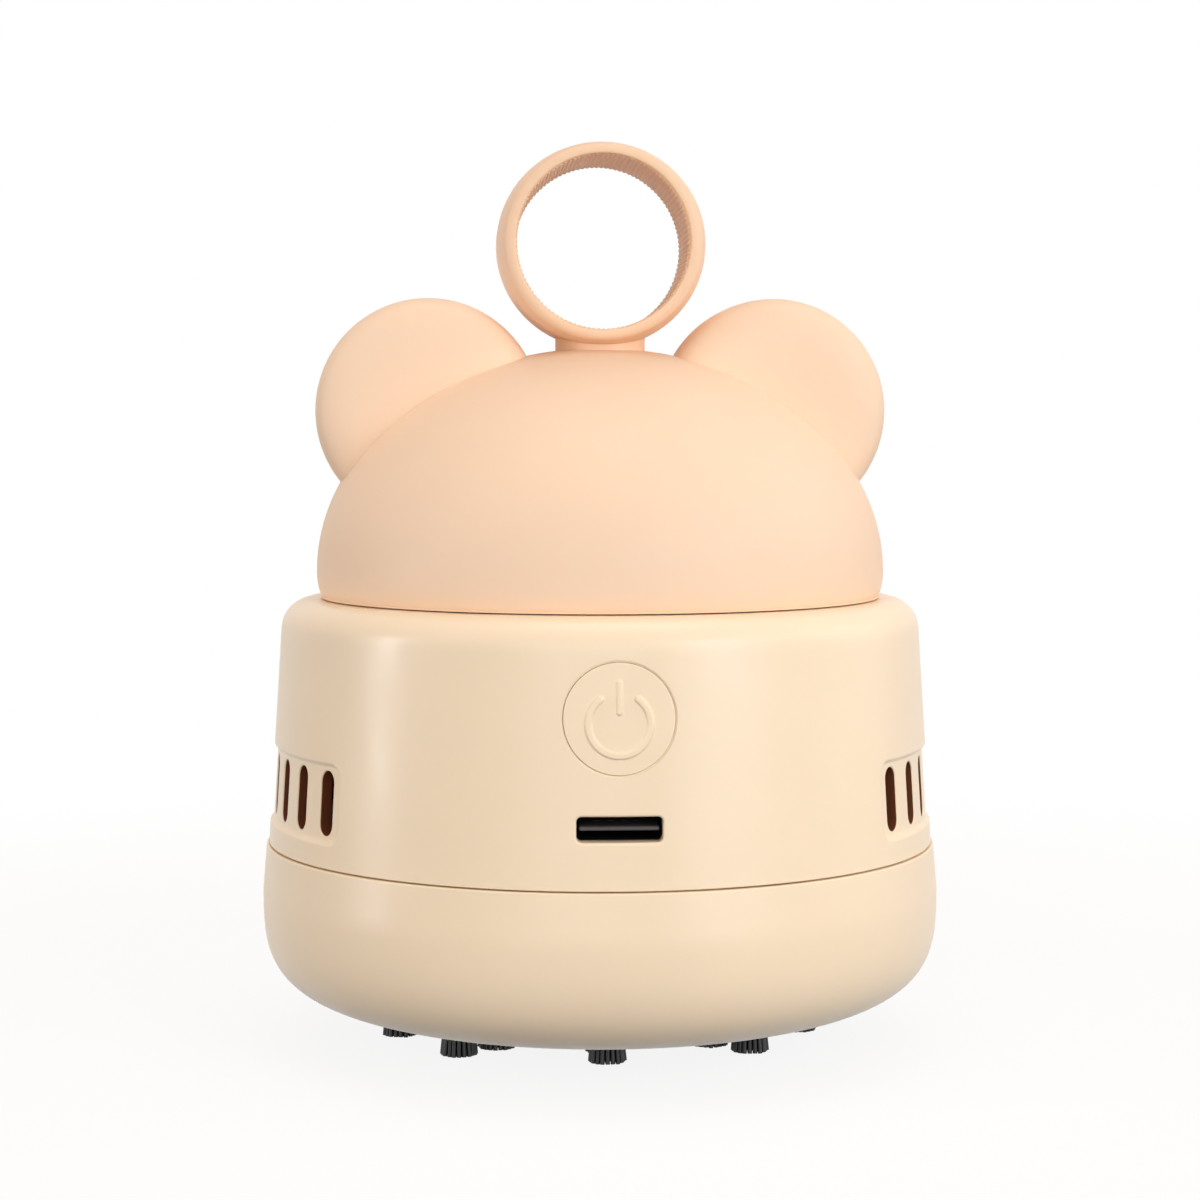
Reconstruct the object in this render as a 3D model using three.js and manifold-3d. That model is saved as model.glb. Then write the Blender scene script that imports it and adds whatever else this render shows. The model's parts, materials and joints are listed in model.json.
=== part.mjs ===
import * as THREE from 'three';
import { mergeGeometries, mergeVertices } from 'three/addons/utils/BufferGeometryUtils.js';
import Module from 'manifold-3d';

// A desktop mini vacuum cleaner: an eared dome with a finger ring on a tapering housing, and under
// it a dust cup that stands on bristle tufts. Millimetres, +Z up, the front faces -Y.
// The origin is on the standing plane, under the middle of the body.

// Clearances
const fitGap = 0.3; // between pieces that touch
const seamGap = 0.3; // joint line between two shells
const buttonGap = 0.25; // round the push button
const cutOverrun = 1; // how far a cutter runs past the faces that it cuts
const weldDistance = 0.0001; // vertices nearer than this are one

// Bristles and the plates that carry them
const bristleLength = 5.15; // from a plate's face to the trimmed ends
const bristleTrim = 0.5; // cut off flat at the standing plane
const bristleRadius = 0.27;
const bristleRoot = 0.5; // how deep a strand is set in its plate
const tuftRootRadius = 1.87;
const tuftSplay = 0.38; // how much wider a tuft is at its tips
const tuftRingGapX = 2.2; // between the tips of the outer and inner tufts, at the sides
const tuftRingGapY = 0.4; // and at the front and back
const inletMarginX = 10.13; // from the inlet to the inner edge of the plates, at the sides
const inletMarginY = 2.03;
const brushPlateThickness = 1.6;
const brushPlateMargin = 0.9; // plate left beyond its tufts
const brushPlateSink = 0.15; // how far the plate's face lies above the cup's underside
const brushPegRadius = 1.3;

// Dust cup
const cupHeight = 20.75;
const cupRimStep = 0.3; // how far the cup's rim stands out past the housing's
const cupSwell = 0.5; // from the cup's rim out to its widest
const cupFlatRadius = 20.8;
const cupCurveHeight = 15;
const cupWall = 2.35;
const cupFloor = 3.4;
const inletRadius = 6;
const inletWall = 1.3;
const chimneyHeight = 4.4;
const filterLedge = 2;

// Filter
const filterFrameHeight = 2.1;
const filterFrameWidth = 9.8;
const filterLip = 1.6;
const filterLipHeight = 0.8;
const filterPadHeight = 2.5;

// Main housing
const housingHeight = 30.95;
const housingRimRadius = 42.65;
const housingTaper = 2; // how much the wall would narrow from its rim to the deck's level
const housingWall = 2;
const shoulderRadius = 3.8;
const deckThickness = 2;
const ventRise = 3.75; // from the rim to the foot of the slots
const ventSlotHeight = 7.8;
const ventSlotWidth = 2.7;
const ventRecessDepth = 0.45;
const ventRecessMargin = 1.1; // recessed panel above and below the slots
const ventRecessCorner = 2;
const postRadius = 2.6;
const pilotDepth = 8;

// Push button and its switch
const buttonRadius = 6.43;
const buttonFlange = 1; // how far the hidden flange stands out round the button
const buttonFlangeThickness = 1.2;
const buttonStemRadius = 2;
const buttonStemLength = 1.5;
const symbolRadius = 3.6; // middle of the power symbol's arc
const symbolStroke = 0.9;
const symbolBarWidth = 0.75;
const symbolBarLength = 4;
const symbolBarCorner = 0.25;
const symbolBarRise = 1.1; // how far the bar stands above the arc's circle
const symbolDrop = 0.4; // arc's centre below the button's
const symbolProud = 0.25; // how far the symbol stands out of the button's face
const plungerRadius = 1.7;
const plungerLength = 2.2;
const plungerProud = 1.2; // plunger standing out of the switch
const switchWidth = 6;
const switchDepth = 3.6;
const switchPocketSpare = 1; // free depth under the plunger

// Control board and charging socket
const boardWidth = 27;
const boardThickness = 1.2;
const boardTopRoom = 1.8; // from the board up to the deck
const boardFootRoom = 0.9; // from the board down to the fan cover
const boardScrewInset = 2.6;
const boardPostRadius = 2.2;
const portWidth = 9.9;
const portHeight = 2.9;
const portCorner = 0.6;
const portRim = 0.35; // width of the shallow step round the port
const socketWall = 0.5;
const tongueWidth = 9.2;
const tongueHeight = 0.5;
const tongueSetBack = 1.3; // tongue's front, in from the wall's outside
const tongueCorner = 0.2;

// Motor, impeller and the plates round them
const coverInset = 0.6; // from the housing's rim up to the fan cover
const coverThickness = 1.6;
const collarHeight = 6.05;
const collarWall = 2.4;
const sealRadius = 1; // of the seal ring's round section
const sealRise = 1.9; // from the collar's foot to the middle of the seal ring
const sealGrooveDepth = 1.2;
const grilleRadius = 11.5;
const grilleHubRadius = 3.5;
const fanChamberHeight = 10.6;
const plateThickness = 1.6;
const baffleThickness = 1.2;
const baffleRoom = 0.9; // from the control board back to the baffle
const plateEdgeGap = 0.6; // round the motor plate
const baffleEdgeGap = 0.9; // from the baffle's ends to the fan cover's edge
const postCircleInset = 5.3; // posts' middle, in from the plate's edge
const motorRadius = 12.2;
const motorWall = 0.8;
const motorHoleGap = 1.5; // between the motor and the hole over it in the deck
const endCapThickness = 1.5;
const motorScrewInset = 4.6; // from the motor's outside in to its screws
const shaftRadius = 1;
const bearingWall = 1.6;
const magnetThickness = 2.4;
const magnetGap = 0.9; // air between magnets and armature
const armatureEndRoom = 2.2;
const armatureSlotWidth = 2.2;
const armatureCoreRadius = 3.8;
const impellerRoom = 6.7; // from the posts in to the impeller
const impellerTopRoom = 2.2;
const impellerFootRoom = 1.3;
const impellerDisc = 1.2;
const impellerHubRadius = 3.2;
const bladeThickness = 1;
const bladeInnerRadius = 9;

// Dome cap and ears
const domeFootInset = 1.55; // from the housing's shoulder in to the dome's foot
const domeSwell = 1.05; // from the dome's foot out to its widest
const domeFootHeight = 3.1; // from the dome's foot up to its widest level
const domeHeight = 28.5; // above the widest level
const domeWall = 2;
const domePostInset = 8.3; // posts' middle, in from the dome's foot
const crownRadius = 7; // thickened crown that carries the ring
const crownDepth = 2; // below the shell's inner face
const earRadius = 14.35;
const earThickness = 15.5;
const earRounding = 3.5;
const earSink = 1.95; // from the dome's face in to an ear's centre
const earPegRadius = 2.6;
const earPegTop = 5; // from an ear's centre out along the peg
const earPegProud = 1.6; // peg left inside the dome's wall

// Finger ring
const ringBore = 10.8;
const ringBand = 2.5;
const ringEdgeBand = 1.5;
const ringDepth = 18;
const ringRise = 13; // from the dome's top to the ring's centre
const neckRadius = 5.75;
const neckSink = 0.8; // depth of the neck's seat in the crown
const spigotRadius = 3.2;
const washerRadius = 5;
const washerThickness = 0.7;

// Battery
const cellRadius = 7;
const cellEndRoom = 9.35; // from the dome's wall at its widest in to the cell's ends
const cradleBase = 1.6;
const cradleWidth = 17;
const cradleStop = 1.4;
const saddleThickness = 4;
const saddleReach = 16; // from the middle to a saddle
const cradleTabRadius = 3;
const cradleTabMargin = 3.3; // from the motor's hole in the deck out to each tab's screw
const strapWidth = 8;
const strapThickness = 0.8;

// Screws and leads
const smallShank = 0.9;
const smallHead = 1.9;
const smallHeadHeight = 1.2;
const largeShank = 1.1;
const largeHead = 2.3;
const largeHeadHeight = 1.4;
const shortScrewLength = 5;
const earScrewHead = 3.4;
const leadRadius = 0.55;
const leadHoleRadius = 1.7;
const leadHoleX = 10;
const leadHoleY = 18;
const terminalX = 3; // motor's terminals, out from the middle

// Strokes of the joints that the solids leave room for
const buttonTravel = 0.6;

// Shares, counts and angles
const buttonRiseShare = 0.6486; // button's centre, of the room from fan cover to deck
const portRiseShare = 0.1776; // port's centre, of the same room
const cupCurvePowerShare = 3.36; // exponent of the cup's rounded foot
const ringCurvePowerShare = 2; // exponent of the ring's rounded outside
const tuftCoreShare = 0.42; // radius of a tuft's inner strands, of its outer ones
const headChamferShare = 0.75; // flat top of a screw head, of its radius
const headShoulderShare = 0.5; // side of a screw head, of its height
const screwTipShare = 0.85; // where a shank starts to taper, of its length
const ventSlotCount = 9;
const ventPitchAngle = 8.75;
const ventRecessHalfAngle = 39.5;
const tuftsPerRing = 8;
const brushPlateCount = 4;
const outerStrands = 14;
const innerStrands = 5;
const bladeCount = 11;
const bladeSweepAngle = 48;
const earPlaceAngle = 50.65; // along the dome's curve, up from its widest level
const symbolOpenAngle = 34; // from upright to each end of the arc
const grilleSlotCount = 6;
const grilleSpokeAngle = 16;
const grilleHubSpokeAngle = 26;
const magnetHalfAngle = 62;
const armaturePoles = 3;
const leadSides = 8;
const neckReachShare = 0.33; // how far the neck runs into the ring, of its band
const bodySteps = 32;
const innerBodySteps = 20;
const ringSteps = 24;
const roundSteps = 16;
const smallSteps = 8;
const screwSteps = 8;
const curveSteps = 8;
const coarseCurveSteps = 4;
const cornerSteps = 2;
const sealSteps = 6;
const faceSteps = 20;
const domeSteps = 12;
const innerDomeSteps = 6;
const batteryLeadSteps = 14;
const motorLeadSteps = 8;

const wasm = await Module();
wasm.setup();

const part = new THREE.Group();
const degree = Math.PI / 180;

// Levels of the stack, from the standing plane up
const cupBaseZ = bristleLength - brushPlateSink;
const cupRimZ = cupBaseZ + cupHeight;
const cupFloorZ = cupBaseZ + cupFloor;
const housingRimZ = cupRimZ + seamGap;
const deckZ = housingRimZ + housingHeight;
const deckUnderZ = deckZ - deckThickness;
const coverZ = housingRimZ + coverInset;
const coverTopZ = coverZ + coverThickness;
const collarFootZ = coverZ - collarHeight;
const filterSeatZ = collarFootZ - filterFrameHeight - 2 * fitGap;
const plateZ = coverTopZ + fanChamberHeight;
const plateTopZ = plateZ + plateThickness;
const motorZ = plateTopZ + fitGap;
const motorTopZ = deckUnderZ - endCapThickness;
const domeBaseZ = deckZ + seamGap;
const domeWideZ = domeBaseZ + domeFootHeight;
const domeTopZ = domeWideZ + domeHeight;
const crownUnderZ = domeTopZ - domeWall - crownDepth;
const ringZ = domeTopZ + ringRise;
const cradleZ = deckZ + fitGap;
const cellZ = cradleZ + cradleBase + fitGap + cellRadius;
const buttonZ = coverTopZ + (deckUnderZ - coverTopZ) * buttonRiseShare;
const portZ = coverTopZ + (deckUnderZ - coverTopZ) * portRiseShare;
const ventZ = housingRimZ + ventRise;

// Radii and depths that follow from more than one piece
const housingTopRadius = housingRimRadius - housingTaper;
const cupRimRadius = housingRimRadius + cupRimStep;
const cupRadius = cupRimRadius + cupSwell;
const cupInnerRadius = cupRimRadius - cupWall;
const domeFootRadius = housingTopRadius - shoulderRadius - domeFootInset;
const domeRadius = domeFootRadius + domeSwell;
const domePostRadius = domeFootRadius - domePostInset;
const cellLength = 2 * (domeRadius - domeWall - cellEndRoom);
const sealRingRadius = cupInnerRadius - fitGap - sealRadius;
const grooveRadius = sealRingRadius - sealRadius - fitGap;
const collarRadius = grooveRadius + sealGrooveDepth;
const plateRadius = housingRadiusAt(plateTopZ) - housingWall - plateEdgeGap;
const coverRadius = housingRadiusAt(coverZ) - housingWall - fitGap;
const postCircle = plateRadius - postCircleInset;
const flangeRadius = buttonRadius + buttonFlange;
const flangeY = fitGap - chordDepth(housingRadiusAt(buttonZ + flangeRadius) - housingWall, flangeRadius);
const flangeBackY = flangeY + buttonFlangeThickness;
const stemBackY = flangeBackY + buttonStemLength;
const plungerY = stemBackY + fitGap;
const switchY = plungerY + plungerProud;
const boardY = switchY + switchDepth + fitGap;
const boardBackY = boardY + boardThickness;
const baffleY = boardBackY + baffleRoom;
const boardTopZ = deckUnderZ - boardTopRoom;
const boardFootZ = coverTopZ + boardFootRoom;
const boardScrewX = boardWidth / 2 - boardScrewInset;
const boardScrewZ = boardTopZ - boardScrewInset;
const socketY = fitGap - chordDepth(housingRadiusAt(portZ) - housingWall, portWidth / 2 + socketWall);
const impellerRadius = postCircle - postRadius - impellerRoom;
const motorScrewRadius = motorRadius - motorScrewInset;
const cradleTabReach = motorRadius + motorHoleGap + cradleTabMargin;
const impellerTopZ = plateZ - impellerTopRoom;
const impellerFootZ = coverTopZ + impellerFootRoom;
const pegFoot = domeWall - earSink + earPegProud;
const postAngles = [90, 210, 330];
const domePostAngles = [45, 135, 225, 315];

// Radius of the housing's outside wall at a level
function housingRadiusAt(z) {
  const share = (z - housingRimZ) / housingHeight;
  return housingRimRadius + (housingTopRadius - housingRimRadius) * share;
}

// Distance from the middle to a chord of a circle, from half the chord's length
function chordDepth(radius, half) {
  return Math.sqrt(radius ** 2 - half ** 2);
}

function solidFrom(positions, triangles) {
  return new wasm.Manifold(new wasm.Mesh({
    numProp: 3,
    vertProperties: new Float32Array(positions),
    triVerts: new Uint32Array(triangles),
  }));
}

// A closed solid from a geometry, with its faces pointing out
function toSolid(geometry) {
  const bare = geometry.clone();
  bare.deleteAttribute('normal');
  bare.deleteAttribute('uv');
  const welded = mergeVertices(bare, weldDistance);
  const index = welded.index.array;
  const outward = [];
  const inward = [];
  for (let i = 0; i < index.length; i += 3) {
    const [a, b, c] = [index[i], index[i + 1], index[i + 2]];
    if (a !== b && b !== c && c !== a) {
      outward.push(a, b, c);
      inward.push(a, c, b);
    }
  }
  const positions = welded.attributes.position.array;
  const solid = solidFrom(positions, outward);
  return solid.volume() > 0 ? solid : solidFrom(positions, inward);
}

// A profile of [radius, height] pairs turned about the upright axis
function turn(points, steps) {
  const outline = points.map(([r, z]) => new THREE.Vector2(r, z));
  const geometry = new THREE.LatheGeometry(outline, steps);
  geometry.rotateX(Math.PI / 2);
  return toSolid(geometry);
}

// A ring with a rectangular section
function turnRing(inner, outer, low, high, steps) {
  return turn([[inner, low], [outer, low], [outer, high], [inner, high], [inner, low]], steps);
}

function turnDisc(radius, low, high, steps) {
  return turn([[0, low], [radius, low], [radius, high], [0, high]], steps);
}

// A shape drawn flat, with a thickness. Each of its arcs gets a number of steps.
function extrude(shape, depth, arcSteps) {
  const curveSegments = arcSteps / 2;
  return new THREE.ExtrudeGeometry(shape, { depth, steps: 1, bevelEnabled: false, curveSegments });
}

// A shape drawn in plan, raised from low to high
function extrudeUp(shape, low, high, arcSteps) {
  const geometry = extrude(shape, high - low, arcSteps);
  geometry.translate(0, 0, low);
  return toSolid(geometry);
}

// A shape drawn as seen from the front, from its front face to its back face
function extrudeBack(shape, frontY, backY, arcSteps) {
  const geometry = extrude(shape, backY - frontY, arcSteps);
  geometry.rotateX(Math.PI / 2);
  geometry.translate(0, backY, 0);
  return toSolid(geometry);
}

// A shape drawn in y and z, run along x and then turned about the upright axis
function extrudeAcross(shape, lowX, highX, arcSteps, angle = 0) {
  const geometry = extrude(shape, highX - lowX, arcSteps);
  const turned = new THREE.Matrix4().makeBasis(
    new THREE.Vector3(0, 1, 0),
    new THREE.Vector3(0, 0, 1),
    new THREE.Vector3(1, 0, 0),
  );
  geometry.applyMatrix4(turned);
  geometry.translate(lowX, 0, 0);
  geometry.rotateZ(angle * degree);
  return toSolid(geometry);
}

function box(lowX, highX, lowY, highY, lowZ, highZ, angle = 0) {
  const geometry = new THREE.BoxGeometry(highX - lowX, highY - lowY, highZ - lowZ);
  geometry.translate((lowX + highX) / 2, (lowY + highY) / 2, (lowZ + highZ) / 2);
  geometry.rotateZ(angle * degree);
  return toSolid(geometry);
}

// A round rod between two points
function rod(radius, start, end, steps) {
  const from = new THREE.Vector3(...start);
  const along = new THREE.Vector3(...end).sub(from);
  const geometry = new THREE.CylinderGeometry(radius, radius, along.length(), steps);
  const turned = new THREE.Quaternion().setFromUnitVectors(
    new THREE.Vector3(0, 1, 0),
    along.clone().normalize(),
  );
  geometry.applyQuaternion(turned);
  const middle = from.addScaledVector(along, 1 / 2);
  geometry.translate(middle.x, middle.y, middle.z);
  return toSolid(geometry);
}

// An upright rod at a place in plan
function uprightRod(radius, x, y, low, high, steps = smallSteps) {
  return rod(radius, [x, y, low], [x, y, high], steps);
}

function circleShape(radius, x = 0, y = 0) {
  const shape = new THREE.Shape();
  shape.absarc(x, y, radius, 0, 2 * Math.PI);
  return shape;
}

function roundedRect(width, height, corner, x = 0, y = 0) {
  const right = x + width / 2;
  const top = y + height / 2;
  const left = x - width / 2;
  const foot = y - height / 2;
  const shape = new THREE.Shape();
  shape.absarc(right - corner, foot + corner, corner, -Math.PI / 2, 0);
  shape.absarc(right - corner, top - corner, corner, 0, Math.PI / 2);
  shape.absarc(left + corner, top - corner, corner, Math.PI / 2, Math.PI);
  shape.absarc(left + corner, foot + corner, corner, Math.PI, Math.PI * 3 / 2);
  return shape;
}

// A piece of a ring in plan, between two angles
function sectorShape(inner, outer, startAngle, endAngle) {
  const shape = new THREE.Shape();
  shape.absarc(0, 0, outer, startAngle, endAngle, false);
  shape.absarc(0, 0, inner, endAngle, startAngle, true);
  return shape;
}

function polar(radius, angle) {
  return [radius * Math.cos(angle * degree), radius * Math.sin(angle * degree)];
}

// Points of a curve that bends from flat to upright as a superellipse does
function cornerCurve(innerR, outerR, lowZ, highZ, power, steps) {
  const points = [];
  for (let i = 0; i <= steps; i += 1) {
    const angle = i / steps * Math.PI / 2;
    const across = Math.sin(angle) ** (2 / power);
    const up = 1 - Math.max(0, Math.cos(angle)) ** (2 / power);
    points.push([innerR + (outerR - innerR) * across, lowZ + (highZ - lowZ) * up]);
  }
  return points;
}

function addPiece(name, solid, finish) {
  const { vertProperties, triVerts } = solid.getMesh();
  const geometry = new THREE.BufferGeometry();
  geometry.setAttribute('position', new THREE.BufferAttribute(new Float32Array(vertProperties), 3));
  geometry.setIndex(new THREE.BufferAttribute(new Uint32Array(triVerts), 1));
  geometry.computeVertexNormals();
  const mesh = new THREE.Mesh(geometry, finish());
  mesh.name = name;
  part.add(mesh);
  return mesh;
}

// Finishes
function finishOf(color, roughness, metalness) {
  return () => new THREE.MeshStandardMaterial({ color, roughness, metalness });
}

const creamPlastic = finishOf(0xffebcb, 0.45, 0);
const peachPlastic = finishOf(0xfadcb9, 0.5, 0);
const ringPlastic = finishOf(0xf4cba2, 0.45, 0);
const blackPlastic = finishOf(0x18181a, 0.5, 0);
const bristleNylon = finishOf(0x141416, 0.6, 0);
const innerPlastic = finishOf(0x613f2c, 0.5, 0);
const fanPlastic = finishOf(0x2c2e33, 0.45, 0);
const filterFelt = finishOf(0xf4f2ec, 0.95, 0);
const sealRubber = finishOf(0x3a3a3c, 0.8, 0);
const steel = finishOf(0xb9bcc0, 0.35, 0.9);
const brass = finishOf(0xc9a45c, 0.35, 0.9);
const magnetFerrite = finishOf(0x35363a, 0.6, 0.2);
const copperWire = finishOf(0xb0693a, 0.4, 0.8);
const boardGreen = finishOf(0x1f6b42, 0.5, 0);
const cellWrap = finishOf(0x3f6fb0, 0.4, 0);
const redWire = finishOf(0xb3261e, 0.5, 0);
const blackWire = finishOf(0x1b1b1d, 0.5, 0);

// A pan-head screw. Its head seats at a point, and its shank runs from there in a direction.
function addScrew(name, seat, direction, shank, head, headHeight, length) {
  const solid = turn([
    [0, -headHeight],
    [head * headChamferShare, -headHeight],
    [head, -headHeight * headShoulderShare],
    [head, 0],
    [shank, 0],
    [shank, length * screwTipShare],
    [0, length],
  ], screwSteps);
  const mesh = addPiece(name, solid, steel);
  mesh.position.set(...seat);
  mesh.quaternion.setFromUnitVectors(
    new THREE.Vector3(0, 0, 1),
    new THREE.Vector3(...direction).normalize(),
  );
}

// The housing's outside form, moved in by an offset, with its foot lowered by a drop
function housingForm(offset, drop) {
  const topZ = deckZ - (offset > 0 ? deckThickness * offset / housingWall : 0);
  const bendZ = deckZ - shoulderRadius;
  const bendRadius = housingRadiusAt(bendZ) - offset;
  const bend = shoulderRadius - offset;
  const points = [[0, housingRimZ - drop], [housingRimRadius - offset, housingRimZ - drop]];
  for (let i = 0; i <= coarseCurveSteps; i += 1) {
    const angle = i / coarseCurveSteps * Math.PI / 2;
    points.push([
      bendRadius - bend + bend * Math.cos(angle),
      topZ - bend + bend * Math.sin(angle),
    ]);
  }
  points.push([0, topZ]);
  return turn(points, bodySteps);
}

// The dome's outside form, grown by an offset, with its foot lowered by a drop. Its height has a
// number of steps, and the bend at its foot has a third as many.
function domeForm(offset, drop, steps, turnSteps) {
  const points = [[0, domeBaseZ - drop]];
  const foot = domeRadius - domeFootRadius;
  const footSteps = steps / 3;
  points.push([domeFootRadius + offset, domeBaseZ - drop]);
  for (let i = 1; i < footSteps; i += 1) {
    const angle = i / footSteps * Math.PI / 2;
    points.push([
      domeFootRadius + offset + foot * Math.sin(angle),
      domeWideZ - domeFootHeight * Math.cos(angle),
    ]);
  }
  for (let i = 0; i < steps; i += 1) {
    const angle = i / steps * Math.PI / 2;
    points.push([
      (domeRadius + offset) * Math.cos(angle),
      domeWideZ + (domeHeight + offset) * Math.sin(angle),
    ]);
  }
  points.push([0, domeTopZ + offset]);
  return turn(points, turnSteps);
}

function ovalShape(reachX, reachY, startAngle = 0, endAngle = 2 * Math.PI) {
  const shape = new THREE.Shape();
  shape.absellipse(0, 0, reachX, reachY, startAngle, endAngle, false, 0);
  return shape;
}

const tuftTipRadius = tuftRootRadius + tuftSplay;
const plateMargin = tuftRootRadius + brushPlateMargin;
const tuftInnerReachX = inletRadius + inletMarginX + fitGap + plateMargin;
const tuftInnerReachY = inletRadius + inletMarginY + fitGap + plateMargin;
const tuftOuterReachX = tuftInnerReachX + 2 * tuftTipRadius + tuftRingGapX;
const tuftOuterReachY = tuftInnerReachY + 2 * tuftTipRadius + tuftRingGapY;
const brushOuter = [tuftOuterReachX + plateMargin, tuftOuterReachY + plateMargin];
const brushInner = [tuftInnerReachX - plateMargin, tuftInnerReachY - plateMargin];
const brushMiddle = [(tuftOuterReachX + tuftInnerReachX) / 2, (tuftOuterReachY + tuftInnerReachY) / 2];
const sliceAngle = 360 / brushPlateCount;
const sliceStartAngle = -360 / tuftsPerRing / 2;

function pegPlace(slice) {
  const angle = (sliceStartAngle + sliceAngle * (slice + 1 / 2)) * degree;
  return [brushMiddle[0] * Math.cos(angle), brushMiddle[1] * Math.sin(angle)];
}

// Dust cup with its suction inlet, the ledge for the filter and the recess for the brush plates
function makeDustCup() {
  const outside = turn([
    [0, cupBaseZ],
    ...cornerCurve(
      cupFlatRadius,
      cupRadius,
      cupBaseZ,
      cupBaseZ + cupCurveHeight,
      cupCurvePowerShare,
      curveSteps,
    ),
    [cupRimRadius, cupRimZ],
    [0, cupRimZ],
  ], bodySteps);
  const ledgeRadius = cupInnerRadius - filterLedge;
  const inside = turn([
    [0, cupFloorZ],
    ...cornerCurve(
      cupFlatRadius,
      ledgeRadius,
      cupFloorZ,
      filterSeatZ,
      cupCurvePowerShare,
      coarseCurveSteps,
    ),
    [cupInnerRadius, filterSeatZ],
    [cupInnerRadius, cupRimZ + cutOverrun],
    [0, cupRimZ + cutOverrun],
  ], bodySteps);
  const chimneyTop = cupFloorZ + chimneyHeight;
  const chimney = turnDisc(inletRadius + inletWall, cupFloorZ - cupFloor / 2, chimneyTop, roundSteps);
  const bore = turnDisc(inletRadius, cupBaseZ - cutOverrun, chimneyTop + cutOverrun, roundSteps);
  const recessTop = cupBaseZ + brushPlateSink + brushPlateThickness + fitGap;
  const recess = extrudeUp(
    ovalShape(brushOuter[0] + fitGap, brushOuter[1] + fitGap),
    cupBaseZ - cutOverrun,
    recessTop,
    bodySteps,
  ).subtract(extrudeUp(
    ovalShape(brushInner[0] - fitGap, brushInner[1] - fitGap),
    cupBaseZ - 2 * cutOverrun,
    recessTop + cutOverrun,
    bodySteps,
  ));
  let cup = outside.subtract(inside).add(chimney).subtract(bore).subtract(recess);
  for (let slice = 0; slice < brushPlateCount; slice += 1) {
    const [x, y] = pegPlace(slice);
    const top = cupFloorZ + cutOverrun;
    cup = cup.subtract(uprightRod(brushPegRadius + fitGap, x, y, recessTop - cutOverrun, top));
  }
  addPiece('dust_cup', cup, creamPlastic);
}

// One strand from its plate down to the standing plane. It leans from its root towards its tip,
// which lies below that plane by the length that is trimmed off.
function makeStrand(root, tip, turnAngle) {
  const triangle = new THREE.Shape();
  for (let corner = 0; corner < 3; corner += 1) {
    const angle = turnAngle + corner * 2 * Math.PI / 3;
    const place = [bristleRadius * Math.cos(angle), bristleRadius * Math.sin(angle)];
    if (corner === 0) {
      triangle.moveTo(...place);
    } else {
      triangle.lineTo(...place);
    }
  }
  const wholeLength = bristleLength + bristleTrim;
  const leanX = (root[0] - tip[0]) / wholeLength;
  const leanY = (root[1] - tip[1]) / wholeLength;
  const geometry = extrude(triangle, bristleLength + bristleRoot, cornerSteps);
  geometry.applyMatrix4(new THREE.Matrix4().set(
    1, 0, leanX, root[0] - leanX * bristleLength,
    0, 1, leanY, root[1] - leanY * bristleLength,
    0, 0, 1, 0,
    0, 0, 0, 1,
  ));
  return geometry;
}

function makeTuft(x, y) {
  const strands = [];
  const rootRing = tuftRootRadius - bristleRadius;
  const tipRing = tuftTipRadius - bristleRadius;
  const rings = [[outerStrands, 1], [innerStrands, tuftCoreShare]];
  for (const [count, share] of rings) {
    for (let i = 0; i < count; i += 1) {
      const angle = i / count * 2 * Math.PI;
      const way = [Math.cos(angle), Math.sin(angle)];
      const root = [x + way[0] * rootRing * share, y + way[1] * rootRing * share];
      const tip = [x + way[0] * tipRing * share, y + way[1] * tipRing * share];
      strands.push(makeStrand(root, tip, angle));
    }
  }
  return strands;
}

// Four brush plates, each with its tufts and a peg that holds it in the cup's floor
function makeBrush(slice, name) {
  const startAngle = sliceStartAngle + sliceAngle * slice;
  const edge = fitGap / 2 / brushInner[1];
  const start = startAngle * degree + edge;
  const end = (startAngle + sliceAngle) * degree - edge;
  const shape = new THREE.Shape();
  shape.absellipse(0, 0, brushOuter[0], brushOuter[1], start, end, false, 0);
  shape.absellipse(0, 0, brushInner[0], brushInner[1], end, start, true, 0);
  const plateTop = bristleLength + brushPlateThickness;
  const [pegX, pegY] = pegPlace(slice);
  const pegLow = plateTop - brushPlateThickness / 2;
  const plate = extrudeUp(shape, bristleLength, plateTop, curveSteps)
    .add(uprightRod(brushPegRadius, pegX, pegY, pegLow, cupFloorZ));
  const strands = [];
  const spacing = 360 / tuftsPerRing;
  for (let step = 0; step < sliceAngle / spacing; step += 1) {
    const angle = (startAngle + spacing * (step + 1 / 2)) * degree;
    const [cos, sin] = [Math.cos(angle), Math.sin(angle)];
    strands.push(...makeTuft(tuftOuterReachX * cos, tuftOuterReachY * sin));
    strands.push(...makeTuft(tuftInnerReachX * cos, tuftInnerReachY * sin));
  }
  addPiece(name, plate.add(toSolid(mergeGeometries(strands))), bristleNylon);
}

// Filter frame and pad, which rest on the cup's ledge
function makeFilter() {
  const outer = cupInnerRadius - fitGap;
  const padRadius = outer - filterFrameWidth - fitGap;
  const low = filterSeatZ + fitGap;
  const high = low + filterFrameHeight;
  const lipTop = low + filterLipHeight;
  const frame = turn([
    [padRadius + fitGap - filterLip, low],
    [outer, low],
    [outer, high],
    [padRadius + fitGap, high],
    [padRadius + fitGap, lipTop],
    [padRadius + fitGap - filterLip, lipTop],
    [padRadius + fitGap - filterLip, low],
  ], bodySteps);
  addPiece('filter_frame', frame, fanPlastic);
  const pad = turnDisc(padRadius, lipTop + fitGap, lipTop + fitGap + filterPadHeight, bodySteps);
  addPiece('filter_pad', pad, filterFelt);
}

// Main housing

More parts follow.
